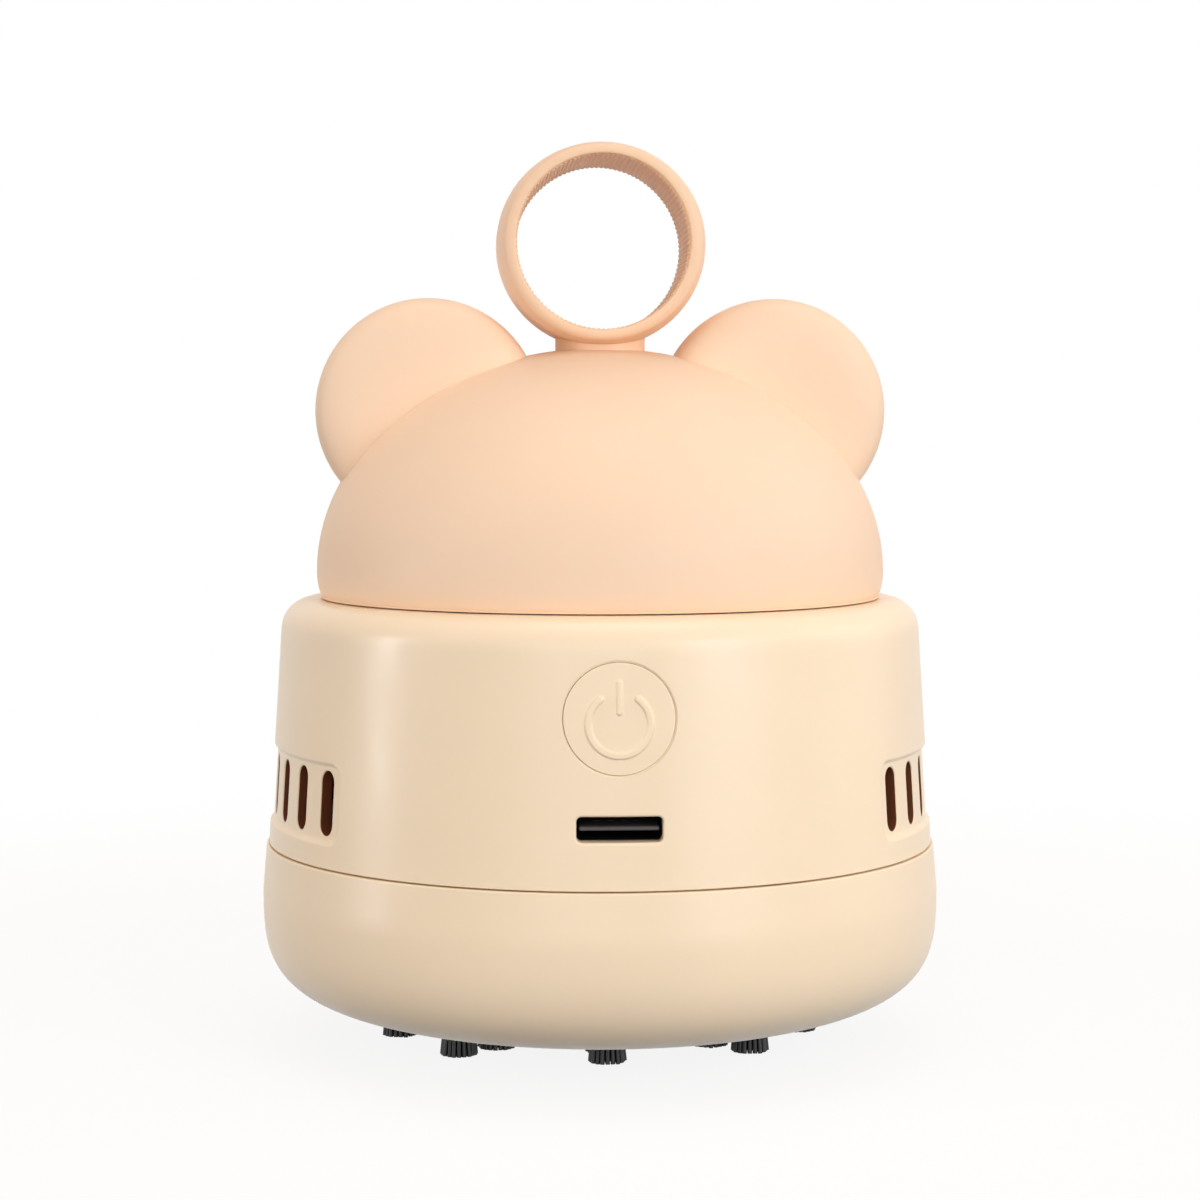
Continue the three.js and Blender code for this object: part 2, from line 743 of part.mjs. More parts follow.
function ventCutters() {
  const recessWidth = 2 * housingRimRadius * Math.sin(ventRecessHalfAngle * degree);
  const recessHeight = ventSlotHeight + 2 * ventRecessMargin;
  const middleZ = ventZ + ventSlotHeight / 2;
  const panel = roundedRect(recessWidth, recessHeight, ventRecessCorner, 0, middleZ);
  const slot = roundedRect(ventSlotWidth, ventSlotHeight, ventSlotWidth / 2, 0, middleZ);
  const outX = housingRimRadius + cutOverrun;
  const inX = housingTopRadius - housingWall - cutOverrun;
  const kept = housingForm(ventRecessDepth, cutOverrun);
  const halfWidth = housingRimRadius * Math.cos(ventRecessHalfAngle * degree) - housingWall;
  const cutters = [];
  for (const side of [0, 180]) {
    cutters.push(extrudeAcross(panel, halfWidth, outX, cornerSteps, side).subtract(kept));
    for (let i = 0; i < ventSlotCount; i += 1) {
      const angle = side + ventPitchAngle * (i - (ventSlotCount - 1) / 2);
      cutters.push(extrudeAcross(slot, inX, outX, cornerSteps, angle));
    }
  }
  return cutters;
}

function makeHousing() {
  let housing = housingForm(0, 0).subtract(housingForm(housingWall, cutOverrun));
  const postFootZ = plateTopZ + fitGap;
  for (const angle of postAngles) {
    const [x, y] = polar(postCircle, angle);
    housing = housing.add(uprightRod(postRadius, x, y, postFootZ, deckZ - deckThickness / 2));
    const pilot = uprightRod(largeShank + fitGap, x, y, postFootZ - cutOverrun, postFootZ + pilotDepth);
    housing = housing.subtract(pilot);
  }
  for (const side of [-1, 1]) {
    const x = side * boardScrewX;
    const back = boardY - fitGap;
    const wallRadius = housingRadiusAt(boardScrewZ + boardPostRadius) - housingWall / 2;
    const front = -chordDepth(wallRadius, boardScrewX + boardPostRadius);
    const postStart = [x, front, boardScrewZ];
    housing = housing.add(rod(boardPostRadius, postStart, [x, back, boardScrewZ], smallSteps));
    const depth = back - shortScrewLength;
    const holeRadius = smallShank + fitGap;
    const start = [x, depth, boardScrewZ];
    housing = housing.subtract(rod(holeRadius, start, [x, back + cutOverrun, boardScrewZ], smallSteps));
  }
  const frontY = -housingRimRadius - cutOverrun;
  const buttonHole = circleShape(buttonRadius + buttonGap, 0, buttonZ);
  const portHole = roundedRect(portWidth, portHeight, portCorner, 0, portZ);
  const portStep = roundedRect(
    portWidth + 2 * portRim,
    portHeight + 2 * portRim,
    portCorner + portRim,
    0,
    portZ,
  );
  housing = housing.subtract(extrudeBack(buttonHole, frontY, flangeY + fitGap, faceSteps));
  housing = housing.subtract(extrudeBack(portHole, frontY, socketY + fitGap, cornerSteps));
  housing = housing.subtract(
    extrudeBack(portStep, frontY, socketY, cornerSteps).subtract(housingForm(portRim, cutOverrun)),
  );
  for (const cutter of ventCutters()) {
    housing = housing.subtract(cutter);
  }
  const low = deckUnderZ - cutOverrun;
  const high = deckZ + cutOverrun;
  housing = housing.subtract(turnDisc(motorRadius + motorHoleGap, low, high, roundSteps));
  for (const angle of domePostAngles) {
    const [x, y] = polar(domePostRadius, angle);
    housing = housing.subtract(uprightRod(largeShank + fitGap, x, y, low, high));
  }
  for (const side of [-1, 1]) {
    housing = housing.subtract(uprightRod(smallShank + fitGap, 0, side * cradleTabReach, low, high));
    housing = housing.subtract(uprightRod(leadHoleRadius, side * leadHoleX, -leadHoleY, low, high));
  }
  addPiece('main_housing', housing, creamPlastic);
}

// Push button, with a raised power symbol, and the switch that it works

function powerSymbol() {
  const start = (90 + symbolOpenAngle) * degree;
  const end = start + (360 - 2 * symbolOpenAngle) * degree;
  const symbolZ = buttonZ - symbolDrop;
  const arc = new THREE.Shape();
  const outer = symbolRadius + symbolStroke / 2;
  const inner = symbolRadius - symbolStroke / 2;
  arc.absarc(0, symbolZ, outer, start, end, false);
  arc.absarc(0, symbolZ, inner, end, start, true);
  const barTop = symbolRadius + symbolBarRise;
  const bar = roundedRect(
    symbolBarWidth,
    symbolBarLength,
    symbolBarCorner,
    0,
    symbolZ + barTop - symbolBarLength / 2,
  );
  return [[arc, smallSteps], [bar, cornerSteps]];
}

function makeButton() {
  const frontY = -housingRimRadius - cutOverrun;
  const face = circleShape(buttonRadius, 0, buttonZ);
  const flange = circleShape(flangeRadius, 0, buttonZ);
  const stem = circleShape(buttonStemRadius, 0, buttonZ);
  const overlap = buttonFlangeThickness / 2;
  let button = extrudeBack(face, frontY, flangeY + overlap, faceSteps)
    .intersect(housingForm(0, 0))
    .add(extrudeBack(flange, flangeY, flangeBackY, faceSteps))
    .add(extrudeBack(stem, flangeBackY - overlap, stemBackY, smallSteps));
  const raised = housingForm(-symbolProud, 0);
  for (const [shape, arcSteps] of powerSymbol()) {
    button = button.add(extrudeBack(shape, frontY, flangeY, arcSteps).intersect(raised));
  }
  addPiece('power_button', button, creamPlastic);
}

function makeSwitch() {
  const plunger = circleShape(plungerRadius, 0, buttonZ);
  addPiece(
    'switch_plunger',
    extrudeBack(plunger, plungerY, plungerY + plungerLength, smallSteps),
    blackPlastic,
  );
  const half = switchWidth / 2;
  const pocket = circleShape(plungerRadius + fitGap, 0, buttonZ);
  const pocketBack = plungerY + plungerLength + buttonTravel + switchPocketSpare;
  const body = box(-half, half, switchY, switchY + switchDepth, buttonZ - half, buttonZ + half)
    .subtract(extrudeBack(pocket, switchY - cutOverrun, pocketBack, smallSteps));
  addPiece('tact_switch', body, fanPlastic);
}

// Control board, its screws and the charging socket

function makeBoard() {
  const half = boardWidth / 2;
  let board = box(-half, half, boardY, boardBackY, boardFootZ, boardTopZ);
  for (const side of [-1, 1]) {
    const start = [side * boardScrewX, boardY - cutOverrun, boardScrewZ];
    const end = [side * boardScrewX, boardBackY + cutOverrun, boardScrewZ];
    board = board.subtract(rod(smallShank + fitGap, start, end, smallSteps));
    const name = side < 0 ? 'board_screw_left' : 'board_screw_right';
    const seat = [side * boardScrewX, boardBackY + fitGap, boardScrewZ];
    addScrew(name, seat, [0, -1, 0], smallShank, smallHead, smallHeadHeight, shortScrewLength);
  }
  addPiece('control_board', board, boardGreen);
}

function makeSocket() {
  const outerWidth = portWidth + 2 * socketWall;
  const outerHeight = portHeight + 2 * socketWall;
  const backY = boardY - fitGap;
  const insideBackY = backY - socketWall;
  const outer = roundedRect(outerWidth, outerHeight, portCorner + socketWall, 0, portZ);
  const inner = roundedRect(portWidth, portHeight, portCorner, 0, portZ);
  const shell = extrudeBack(outer, socketY, backY, cornerSteps)
    .subtract(extrudeBack(inner, socketY - cutOverrun, insideBackY, cornerSteps));
  addPiece('usb_socket_shell', shell, steel);
  const tongue = roundedRect(tongueWidth, tongueHeight, tongueCorner, 0, portZ);
  const tongueBack = insideBackY - fitGap;
  const tongueFront = tongueSetBack - housingRadiusAt(portZ);
  addPiece('usb_tongue', extrudeBack(tongue, tongueFront, tongueBack, cornerSteps), blackPlastic);
}

// Motor plate with its hollow posts and the baffle behind the control board
function makeMotorPlate() {
  const postFootZ = coverTopZ + fitGap;
  const disc = turnDisc(plateRadius, plateZ, plateTopZ, bodySteps);
  const inFront = box(
    -plateRadius - cutOverrun,
    plateRadius + cutOverrun,
    -plateRadius - cutOverrun,
    baffleY,
    plateZ - cutOverrun,
    plateTopZ + cutOverrun,
  );
  const baffleBackY = baffleY + baffleThickness;
  const roundRoom = coverRadius - baffleEdgeGap;
  const baffle = box(-roundRoom, roundRoom, baffleY, baffleBackY, postFootZ, plateZ + plateThickness / 2)
    .intersect(turnDisc(plateRadius, postFootZ, plateTopZ, bodySteps));
  let plate = disc.subtract(inFront).add(baffle);
  for (const angle of postAngles) {
    const [x, y] = polar(postCircle, angle);
    plate = plate.add(uprightRod(postRadius, x, y, postFootZ, plateZ + plateThickness / 2));
    const low = postFootZ - cutOverrun;
    plate = plate.subtract(uprightRod(largeShank + fitGap, x, y, low, plateTopZ + cutOverrun));
  }
  const bushHole = shaftRadius + bearingWall + fitGap;
  plate = plate.subtract(turnDisc(bushHole, plateZ - cutOverrun, plateTopZ + cutOverrun, roundSteps));
  for (const side of [-1, 1]) {
    const x = side * motorScrewRadius;
    const hole = uprightRod(smallShank + fitGap, x, 0, plateZ - cutOverrun, plateTopZ + cutOverrun);
    plate = plate.subtract(hole);
  }
  addPiece('motor_plate', plate, innerPlastic);
}

// Fan cover with its intake grille, the collar that the cup pushes onto and the seal ring
function makeFanCover() {
  const grooveZ = collarFootZ + sealRise;
  const grooveHalf = sealRadius + fitGap;
  const inner = collarRadius - collarWall;
  let cover = turnDisc(coverRadius, coverZ, coverTopZ, bodySteps);
  cover = cover.add(turn([
    [inner, collarFootZ],
    [collarRadius, collarFootZ],
    [collarRadius, grooveZ - grooveHalf],
    [grooveRadius, grooveZ - grooveHalf],
    [grooveRadius, grooveZ + grooveHalf],
    [collarRadius, grooveZ + grooveHalf],
    [collarRadius, coverZ + coverThickness / 2],
    [inner, coverZ + coverThickness / 2],
    [inner, collarFootZ],
  ], bodySteps));
  const low = coverZ - cutOverrun;
  const high = coverTopZ + cutOverrun;
  for (let i = 0; i < grilleSlotCount; i += 1) {
    const pitch = 2 * Math.PI / grilleSlotCount;
    const outerEdge = grilleSpokeAngle / 2 * degree;
    const innerEdge = grilleHubSpokeAngle / 2 * degree;
    const slot = new THREE.Shape();
    slot.absarc(0, 0, grilleRadius, i * pitch + outerEdge, (i + 1) * pitch - outerEdge, false);
    slot.absarc(0, 0, grilleHubRadius, (i + 1) * pitch - innerEdge, i * pitch + innerEdge, true);
    cover = cover.subtract(extrudeUp(slot, low, high, cornerSteps));
  }
  for (const angle of postAngles) {
    const [x, y] = polar(postCircle, angle);
    cover = cover.subtract(uprightRod(largeShank + fitGap, x, y, low, high));
  }
  addPiece('fan_cover', cover, innerPlastic);
  const section = [];
  for (let i = 0; i <= sealSteps; i += 1) {
    const angle = i / sealSteps * 2 * Math.PI;
    const outwards = sealRingRadius + sealRadius * Math.cos(angle);
    section.push([outwards, grooveZ + sealRadius * Math.sin(angle)]);
  }
  addPiece('seal_ring', turn(section, bodySteps), sealRubber);
}

// Long screws through the cover and the plate's posts into the housing
function addPlateScrews() {
  const seatZ = coverZ - fitGap;
  const length = plateTopZ + fitGap + pilotDepth - fitGap - seatZ;
  postAngles.forEach((angle, i) => {
    const [x, y] = polar(postCircle, angle);
    const name = `plate_screw_${i + 1}`;
    addScrew(name, [x, y, seatZ], [0, 0, 1], largeShank, largeHead, largeHeadHeight, length);
  });
}

// Motor: can, magnets, armature, shaft, bearing bush and end cap

function makeMotor() {
  const canInside = motorRadius - motorWall;
  const floorZ = motorZ + motorWall;
  const bushRadius = shaftRadius + bearingWall;
  let can = turnDisc(motorRadius, motorZ, motorTopZ, roundSteps)
    .subtract(turnDisc(canInside, floorZ, motorTopZ + cutOverrun, roundSteps))
    .subtract(turnDisc(bushRadius + fitGap, motorZ - cutOverrun, floorZ + cutOverrun, roundSteps));
  for (const side of [-1, 1]) {
    const x = side * motorScrewRadius;
    const hole = uprightRod(smallShank + fitGap, x, 0, motorZ - cutOverrun, floorZ + cutOverrun);
    can = can.subtract(hole);
    const name = side < 0 ? 'motor_screw_left' : 'motor_screw_right';
    const seatZ = plateZ - fitGap;
    const length = floorZ + fitGap - seatZ;
    addScrew(name, [x, 0, seatZ], [0, 0, 1], smallShank, smallHead, smallHeadHeight, length);
  }
  addPiece('motor_can', can, steel);

  const bush = turnRing(shaftRadius + fitGap, bushRadius, plateZ, floorZ + bearingWall, roundSteps);
  addPiece('motor_bearing', bush, brass);

  const magnetOuter = canInside - fitGap;
  const magnetInner = magnetOuter - magnetThickness;
  const magnetLow = floorZ + armatureEndRoom;
  const magnetHigh = motorTopZ - fitGap;
  const half = magnetHalfAngle * degree;
  for (const [name, middle] of [['motor_magnet_front', -Math.PI / 2], ['motor_magnet_back', Math.PI / 2]]) {
    const arc = sectorShape(magnetInner, magnetOuter, middle - half, middle + half);
    addPiece(name, extrudeUp(arc, magnetLow, magnetHigh, curveSteps), magnetFerrite);
  }

  const armatureRadius = magnetInner - magnetGap;
  const armatureLow = magnetLow + fitGap;
  const armatureHigh = magnetHigh - fitGap;
  let armature = turnDisc(armatureRadius, armatureLow, armatureHigh, roundSteps);
  for (let i = 0; i < armaturePoles; i += 1) {
    const slot = box(
      armatureCoreRadius,
      armatureRadius + cutOverrun,
      -armatureSlotWidth / 2,
      armatureSlotWidth / 2,
      armatureLow - cutOverrun,
      armatureHigh + cutOverrun,
      i * 360 / armaturePoles,
    );
    armature = armature.subtract(slot);
  }
  const shaftHole = shaftRadius + fitGap;
  armature = armature.subtract(
    turnDisc(shaftHole, armatureLow - cutOverrun, armatureHigh + cutOverrun, roundSteps),
  );
  addPiece('motor_armature', armature, copperWire);

  const capZ = motorTopZ + fitGap;
  const pocketTopZ = capZ + endCapThickness / 2;
  const cap = turnDisc(motorRadius, capZ, capZ + endCapThickness, roundSteps)
    .subtract(turnDisc(shaftHole, capZ - cutOverrun, pocketTopZ, roundSteps));
  addPiece('motor_end_cap', cap, blackPlastic);
  const shaft = turnDisc(shaftRadius, impellerFootZ, pocketTopZ - fitGap, roundSteps);
  addPiece('motor_shaft', shaft, steel);
}

// Impeller with blades that sweep back from its turning
function makeImpeller() {
  const discLow = impellerTopZ - impellerDisc;
  let impeller = turnDisc(impellerRadius, discLow, impellerTopZ, bodySteps)
    .add(turnDisc(impellerHubRadius, impellerFootZ, impellerTopZ, roundSteps));
  const steps = coarseCurveSteps;
  const half = bladeThickness / 2;
  const reach = impellerRadius - bladeThickness - bladeInnerRadius;
  for (let blade = 0; blade < bladeCount; blade += 1) {
    const front = [];
    const back = [];
    for (let i = 0; i <= steps; i += 1) {
      const radius = bladeInnerRadius + reach * i / steps;
      const angle = blade / bladeCount * 2 * Math.PI - bladeSweepAngle * degree * i / steps;
      const across = [-Math.sin(angle) * half, Math.cos(angle) * half];
      const place = [radius * Math.cos(angle), radius * Math.sin(angle)];
      front.push(new THREE.Vector2(place[0] + across[0], place[1] + across[1]));
      back.unshift(new THREE.Vector2(place[0] - across[0], place[1] - across[1]));
    }
    const shape = new THREE.Shape([...front, ...back]);
    const bladeTopZ = impellerTopZ - impellerDisc / 2;
    impeller = impeller.add(extrudeUp(shape, impellerFootZ, bladeTopZ, cornerSteps));
  }
  const bore = turnDisc(
    shaftRadius + fitGap,
    impellerFootZ - cutOverrun,
    impellerTopZ + cutOverrun,
    roundSteps,
  );
  addPiece('impeller', impeller.subtract(bore), fanPlastic);
}

// Way out of the dome, square to its face, where an ear stands
function earWay() {
  const across = Math.cos(earPlaceAngle * degree) / domeRadius;
  const up = Math.sin(earPlaceAngle * degree) / domeHeight;
  const length = Math.hypot(across, up);
  return [across / length, up / length];
}

// A point on the line through an ear's centre, out from it by a distance
function earPoint(side, out) {
  const [across, up] = earWay();
  const faceX = domeRadius * Math.cos(earPlaceAngle * degree);
  const faceZ = domeWideZ + domeHeight * Math.sin(earPlaceAngle * degree);
  const reach = out - earSink;
  return [side * (faceX + across * reach), 0, faceZ + up * reach];
}

// Dome cap with posts for its screws and a thick crown for the finger ring
function makeDome() {
  const middle = domeForm(-domeWall / 2, cutOverrun, innerDomeSteps, innerBodySteps);
  let dome = domeForm(0, 0, domeSteps, bodySteps)
    .subtract(domeForm(-domeWall, cutOverrun, innerDomeSteps, innerBodySteps));
  const crown = turnDisc(crownRadius, crownUnderZ, domeTopZ, roundSteps);
  dome = dome.add(crown.intersect(middle));
  const footZ = deckZ + fitGap;
  for (const angle of domePostAngles) {
    const [x, y] = polar(domePostRadius, angle);
    dome = dome.add(uprightRod(postRadius, x, y, footZ, domeTopZ).intersect(middle));
    const pilot = uprightRod(largeShank + fitGap, x, y, footZ - cutOverrun, footZ + shortScrewLength);
    dome = dome.subtract(pilot);
  }
  const seatZ = domeTopZ - neckSink;
  const seat = turnDisc(neckRadius + fitGap, seatZ, domeTopZ + cutOverrun, roundSteps);
  const hole = turnDisc(spigotRadius + fitGap, crownUnderZ - cutOverrun, domeTopZ, roundSteps);
  dome = dome.subtract(seat).subtract(hole);
  for (const side of [-1, 1]) {
    const start = earPoint(side, -pegFoot - cutOverrun);
    const end = earPoint(side, earPegTop);
    dome = dome.subtract(rod(earPegRadius + fitGap, start, end, smallSteps));
  }
  addPiece('dome_cap', dome, peachPlastic);
  domePostAngles.forEach((angle, i) => {
    const [x, y] = polar(domePostRadius, angle);
    const at = [x, y, deckUnderZ - fitGap];
    const length = deckThickness + fitGap + shortScrewLength;
    addScrew(`dome_screw_${i + 1}`, at, [0, 0, 1], largeShank, largeHead, largeHeadHeight, length);
  });
}

function makeEar(side, name, screwName) {
  const halfDepth = earThickness / 2;
  const rim = earRadius - earRounding;
  const outline = [new THREE.Vector2(0, -halfDepth)];
  const steps = coarseCurveSteps;
  for (const end of [-1, 1]) {
    for (let i = 0; i <= steps; i += 1) {
      const angle = (end < 0 ? i / steps : 1 - i / steps) * Math.PI / 2;
      const r = rim + earRounding * Math.sin(angle);
      const y = end * (halfDepth - earRounding + earRounding * Math.cos(angle));
      outline.push(new THREE.Vector2(r, y));
    }
  }
  outline.push(new THREE.Vector2(0, halfDepth));
  const disc = new THREE.LatheGeometry(outline, ringSteps);
  disc.translate(...earPoint(side, 0));
  const peg = rod(earPegRadius, earPoint(side, -pegFoot), earPoint(side, earPegTop), smallSteps);
  const pilot = rod(
    largeShank + fitGap,
    earPoint(side, -pegFoot - cutOverrun),
    earPoint(side, shortScrewLength - pegFoot),
    smallSteps,
  );
  const ear = toSolid(disc)
    .subtract(domeForm(fitGap, cutOverrun, domeSteps, bodySteps))
    .add(peg)
    .subtract(pilot);
  addPiece(name, ear, peachPlastic);
  const [across, up] = earWay();
  const seat = earPoint(side, -pegFoot - fitGap);
  const way = [side * across, 0, up];
  addScrew(screwName, seat, way, largeShank, earScrewHead, largeHeadHeight, shortScrewLength);
}

// Finger ring, its neck and spigot, and the screw and washer that hold it from inside
function makeRing() {
  const outerRadius = ringBore + ringBand;
  const edgeRadius = ringBore + ringEdgeBand;
  const half = ringDepth / 2;
  const outline = [new THREE.Vector2(ringBore, -half)];
  const side = cornerCurve(edgeRadius, outerRadius, 0, half, ringCurvePowerShare, coarseCurveSteps);
  for (const [r, rise] of side) {
    outline.push(new THREE.Vector2(r, rise - half));
  }
  for (const [r, rise] of side.slice(0, -1).reverse()) {
    outline.push(new THREE.Vector2(r, half - rise));
  }
  outline.push(new THREE.Vector2(ringBore, half));
  outline.push(new THREE.Vector2(ringBore, -half));
  const band = new THREE.LatheGeometry(outline, ringSteps);
  band.translate(0, 0, ringZ);
  const neckFootZ = domeTopZ - neckSink + fitGap;
  const spigotFootZ = crownUnderZ + fitGap;
  const boreFloorZ = ringZ - ringBore - ringBand * neckReachShare;
  const pilotTop = spigotFootZ + shortScrewLength;
  const ring = toSolid(band)
    .subtract(domeForm(fitGap, cutOverrun, domeSteps, bodySteps))
    .add(turnDisc(neckRadius, neckFootZ, boreFloorZ, roundSteps))
    .add(turnDisc(spigotRadius, spigotFootZ, boreFloorZ, roundSteps))
    .subtract(turnDisc(largeShank + fitGap, spigotFootZ - cutOverrun, pilotTop, smallSteps));
  addPiece('finger_ring', ring, ringPlastic);
  const washerTop = crownUnderZ - fitGap;
  const washerFoot = washerTop - washerThickness;
  const washer = turnRing(largeShank + fitGap, washerRadius, washerFoot, washerTop, roundSteps);
  addPiece('ring_washer', washer, steel);
  const seat = [0, 0, washerFoot - fitGap];
  addScrew('ring_screw', seat, [0, 0, 1], largeShank, largeHead, largeHeadHeight, shortScrewLength);
}

// Battery cell, its cradle, strap and screws

function makeBattery() {
  const halfCell = cellLength / 2;
  const circle = circleShape(cellRadius, 0, cellZ);
  addPiece('battery_cell', extrudeAcross(circle, -halfCell, halfCell, roundSteps), cellWrap);

  const halfWidth = cradleWidth / 2;
  const stopX = halfCell + fitGap;
  const endX = stopX + cradleStop;
  const baseTopZ = cradleZ + cradleBase;
  let cradle = box(-endX, endX, -halfWidth, halfWidth, cradleZ, baseTopZ);
  const cellHollow = extrudeAcross(circleShape(cellRadius + fitGap, 0, cellZ), -stopX, stopX, roundSteps);
  for (const side of [-1, 1]) {
    const middleX = side * saddleReach;
    const thick = saddleThickness / 2;
    const low = baseTopZ - cradleBase / 2;
    const saddle = box(middleX - thick, middleX + thick, -halfWidth, halfWidth, low, cellZ)
      .subtract(cellHollow);
    const [stopLow, stopHigh] = side < 0 ? [-endX, -stopX] : [stopX, endX];
    const stop = box(stopLow, stopHigh, -halfWidth, halfWidth, low, cellZ);
    const tabY = side * cradleTabReach;
    const tab = uprightRod(cradleTabRadius, 0, tabY, cradleZ, baseTopZ);
    const [armLow, armHigh] = side < 0 ? [tabY, 0] : [0, tabY];
    const arm = box(-cradleTabRadius, cradleTabRadius, armLow, armHigh, cradleZ, baseTopZ);
    const hole = uprightRod(smallShank + fitGap, 0, tabY, cradleZ - cutOverrun, baseTopZ + cutOverrun);
    cradle = cradle.add(saddle).add(stop).add(tab).add(arm).subtract(hole);
    const name = side < 0 ? 'cradle_screw_front' : 'cradle_screw_back';
    const seat = [0, tabY, baseTopZ + fitGap];
    addScrew(name, seat, [0, 0, -1], smallShank, smallHead, smallHeadHeight, shortScrewLength);
  }
  addPiece('battery_cradle', cradle, innerPlastic);

  const inner = cellRadius + fitGap;
  const outer = inner + strapThickness;
  const footZ = baseTopZ + fitGap;
  const strap = new THREE.Shape();
  strap.moveTo(outer, footZ);
  strap.absarc(0, cellZ, outer, 0, Math.PI, false);
  strap.lineTo(-outer, footZ);
  strap.lineTo(-inner, footZ);
  strap.absarc(0, cellZ, inner, Math.PI, 0, true);
  strap.lineTo(inner, footZ);
  const halfStrap = strapWidth / 2;
  addPiece('battery_strap', extrudeAcross(strap, -halfStrap, halfStrap, smallSteps), blackPlastic);
}

// Leads. Each starts and ends a fit gap off the faces that it is joined to.

function addLead(name, places, steps, finish) {
  const section = new THREE.Shape();
  for (let i = 0; i < leadSides; i += 1) {
    const angle = i / leadSides * 2 * Math.PI;
    const place = [leadRadius * Math.cos(angle), leadRadius * Math.sin(angle)];
    if (i === 0) {
      section.moveTo(...place);
    } else {
      section.lineTo(...place);
    }
  }
  const route = new THREE.CatmullRomCurve3(places.map((place) => new THREE.Vector3(...place)));
  const geometry = new THREE.ExtrudeGeometry(section, { steps, extrudePath: route });
  addPiece(name, toSolid(geometry), finish);
}

function makeLeads() {
  const cellEnd = cellLength / 2 + fitGap;
  const boardFace = boardBackY + fitGap;
  const clear = 2 * leadRadius;
  const bendX = cellEnd + cradleStop + fitGap + clear;
  const topZ = cellZ + cellRadius / 2;
  const laneY = -cradleWidth / 2 - fitGap - clear;
  const boardLeadX = boardScrewX - smallHead - fitGap - clear;
  const underZ = deckUnderZ - clear;
  for (const [name, side, finish] of [
    ['battery_lead_black', -1, blackWire],
    ['battery_lead_red', 1, redWire],
  ]) {
    addLead(name, [
      [side * cellEnd, 0, topZ],
      [side * (cellEnd + clear), 0, topZ - clear / 4],
      [side * bendX, -cradleWidth / 3, topZ - clear],
      [side * cellEnd, laneY, cellZ],
      [side * (leadHoleX + clear), laneY, cellZ - cellRadius / 2],
      [side * leadHoleX, -leadHoleY + clear, domeBaseZ + 2 * clear],
      [side * leadHoleX, -leadHoleY, deckZ],
      [side * leadHoleX, -leadHoleY, underZ],
      [side * (leadHoleX + boardLeadX) / 2, (boardFace - leadHoleY) / 2, underZ - 2 * clear],
      [side * boardLeadX, boardFace + clear, buttonZ],
      [side * boardLeadX, boardFace, buttonZ],
    ], batteryLeadSteps, finish);
  }
  const canY = -motorRadius - fitGap;
  for (const [name, side, finish] of [
    ['motor_lead_black', -1, blackWire],
    ['motor_lead_red', 1, redWire],
  ]) {
    addLead(name, [
      [side * terminalX, canY, motorTopZ - clear],
      [side * terminalX, canY - clear, motorTopZ - clear],
      [side * terminalX, (canY + boardFace) / 2, motorTopZ - 3 * clear],
      [side * terminalX, boardFace + clear, buttonZ + clear],
      [side * terminalX, boardFace, buttonZ + clear],
    ], motorLeadSteps, finish);
  }
}

makeDustCup();
['brush_right', 'brush_back', 'brush_left', 'brush_front'].forEach((name, slice) => {
  makeBrush(slice, name);
});
makeFilter();
makeHousing();
makeButton();
makeSwitch();
makeBoard();
makeSocket();
makeMotorPlate();
makeFanCover();
addPlateScrews();
makeMotor();
makeImpeller();
makeDome();
makeEar(-1, 'ear_left', 'ear_screw_left');
makeEar(1, 'ear_right', 'ear_screw_right');
makeRing();
makeBattery();
makeLeads();

export default part;
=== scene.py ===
import json
import math

import bmesh
import bpy
import numpy as np
from mathutils import Matrix, Vector


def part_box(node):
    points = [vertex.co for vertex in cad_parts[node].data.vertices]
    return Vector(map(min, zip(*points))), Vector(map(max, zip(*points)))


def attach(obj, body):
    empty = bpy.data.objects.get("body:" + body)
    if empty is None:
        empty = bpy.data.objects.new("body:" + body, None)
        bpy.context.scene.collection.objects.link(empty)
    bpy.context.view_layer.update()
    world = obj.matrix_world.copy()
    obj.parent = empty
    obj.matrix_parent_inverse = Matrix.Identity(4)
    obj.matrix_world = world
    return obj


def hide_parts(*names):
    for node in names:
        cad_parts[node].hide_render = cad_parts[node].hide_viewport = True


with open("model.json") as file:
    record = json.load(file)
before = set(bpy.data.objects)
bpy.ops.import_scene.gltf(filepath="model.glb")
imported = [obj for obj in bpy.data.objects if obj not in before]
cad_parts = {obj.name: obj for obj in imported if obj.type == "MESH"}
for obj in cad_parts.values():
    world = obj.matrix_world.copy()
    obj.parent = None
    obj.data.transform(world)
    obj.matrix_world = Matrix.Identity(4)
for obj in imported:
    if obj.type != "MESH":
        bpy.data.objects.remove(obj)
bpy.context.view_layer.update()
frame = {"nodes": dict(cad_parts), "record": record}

# A desktop mini vacuum cleaner, built around its fixed frame.
# Meshes are drawn in millimetres and brought to metres when a piece is finished.
perMetre = 1000.0
fullTurn = 2 * math.pi
weld = 0.0002  # vertices nearer than this are one
coordLimit = 1e-6  # a ring narrower than this is a pole
overrun = 1.0  # how far a cutter runs past the faces that it cuts
white = (1.0, 1.0, 1.0, 1.0)


def nodeBox(node):
    low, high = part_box(node)
    return low * perMetre, high * perMetre


def reach(node, axis):
    return nodeBox(node)[1][axis]


def foot(node, axis=2):
    return nodeBox(node)[0][axis]


print("scene: helpers")

# Outlines, in pairs of distance from the axis and height


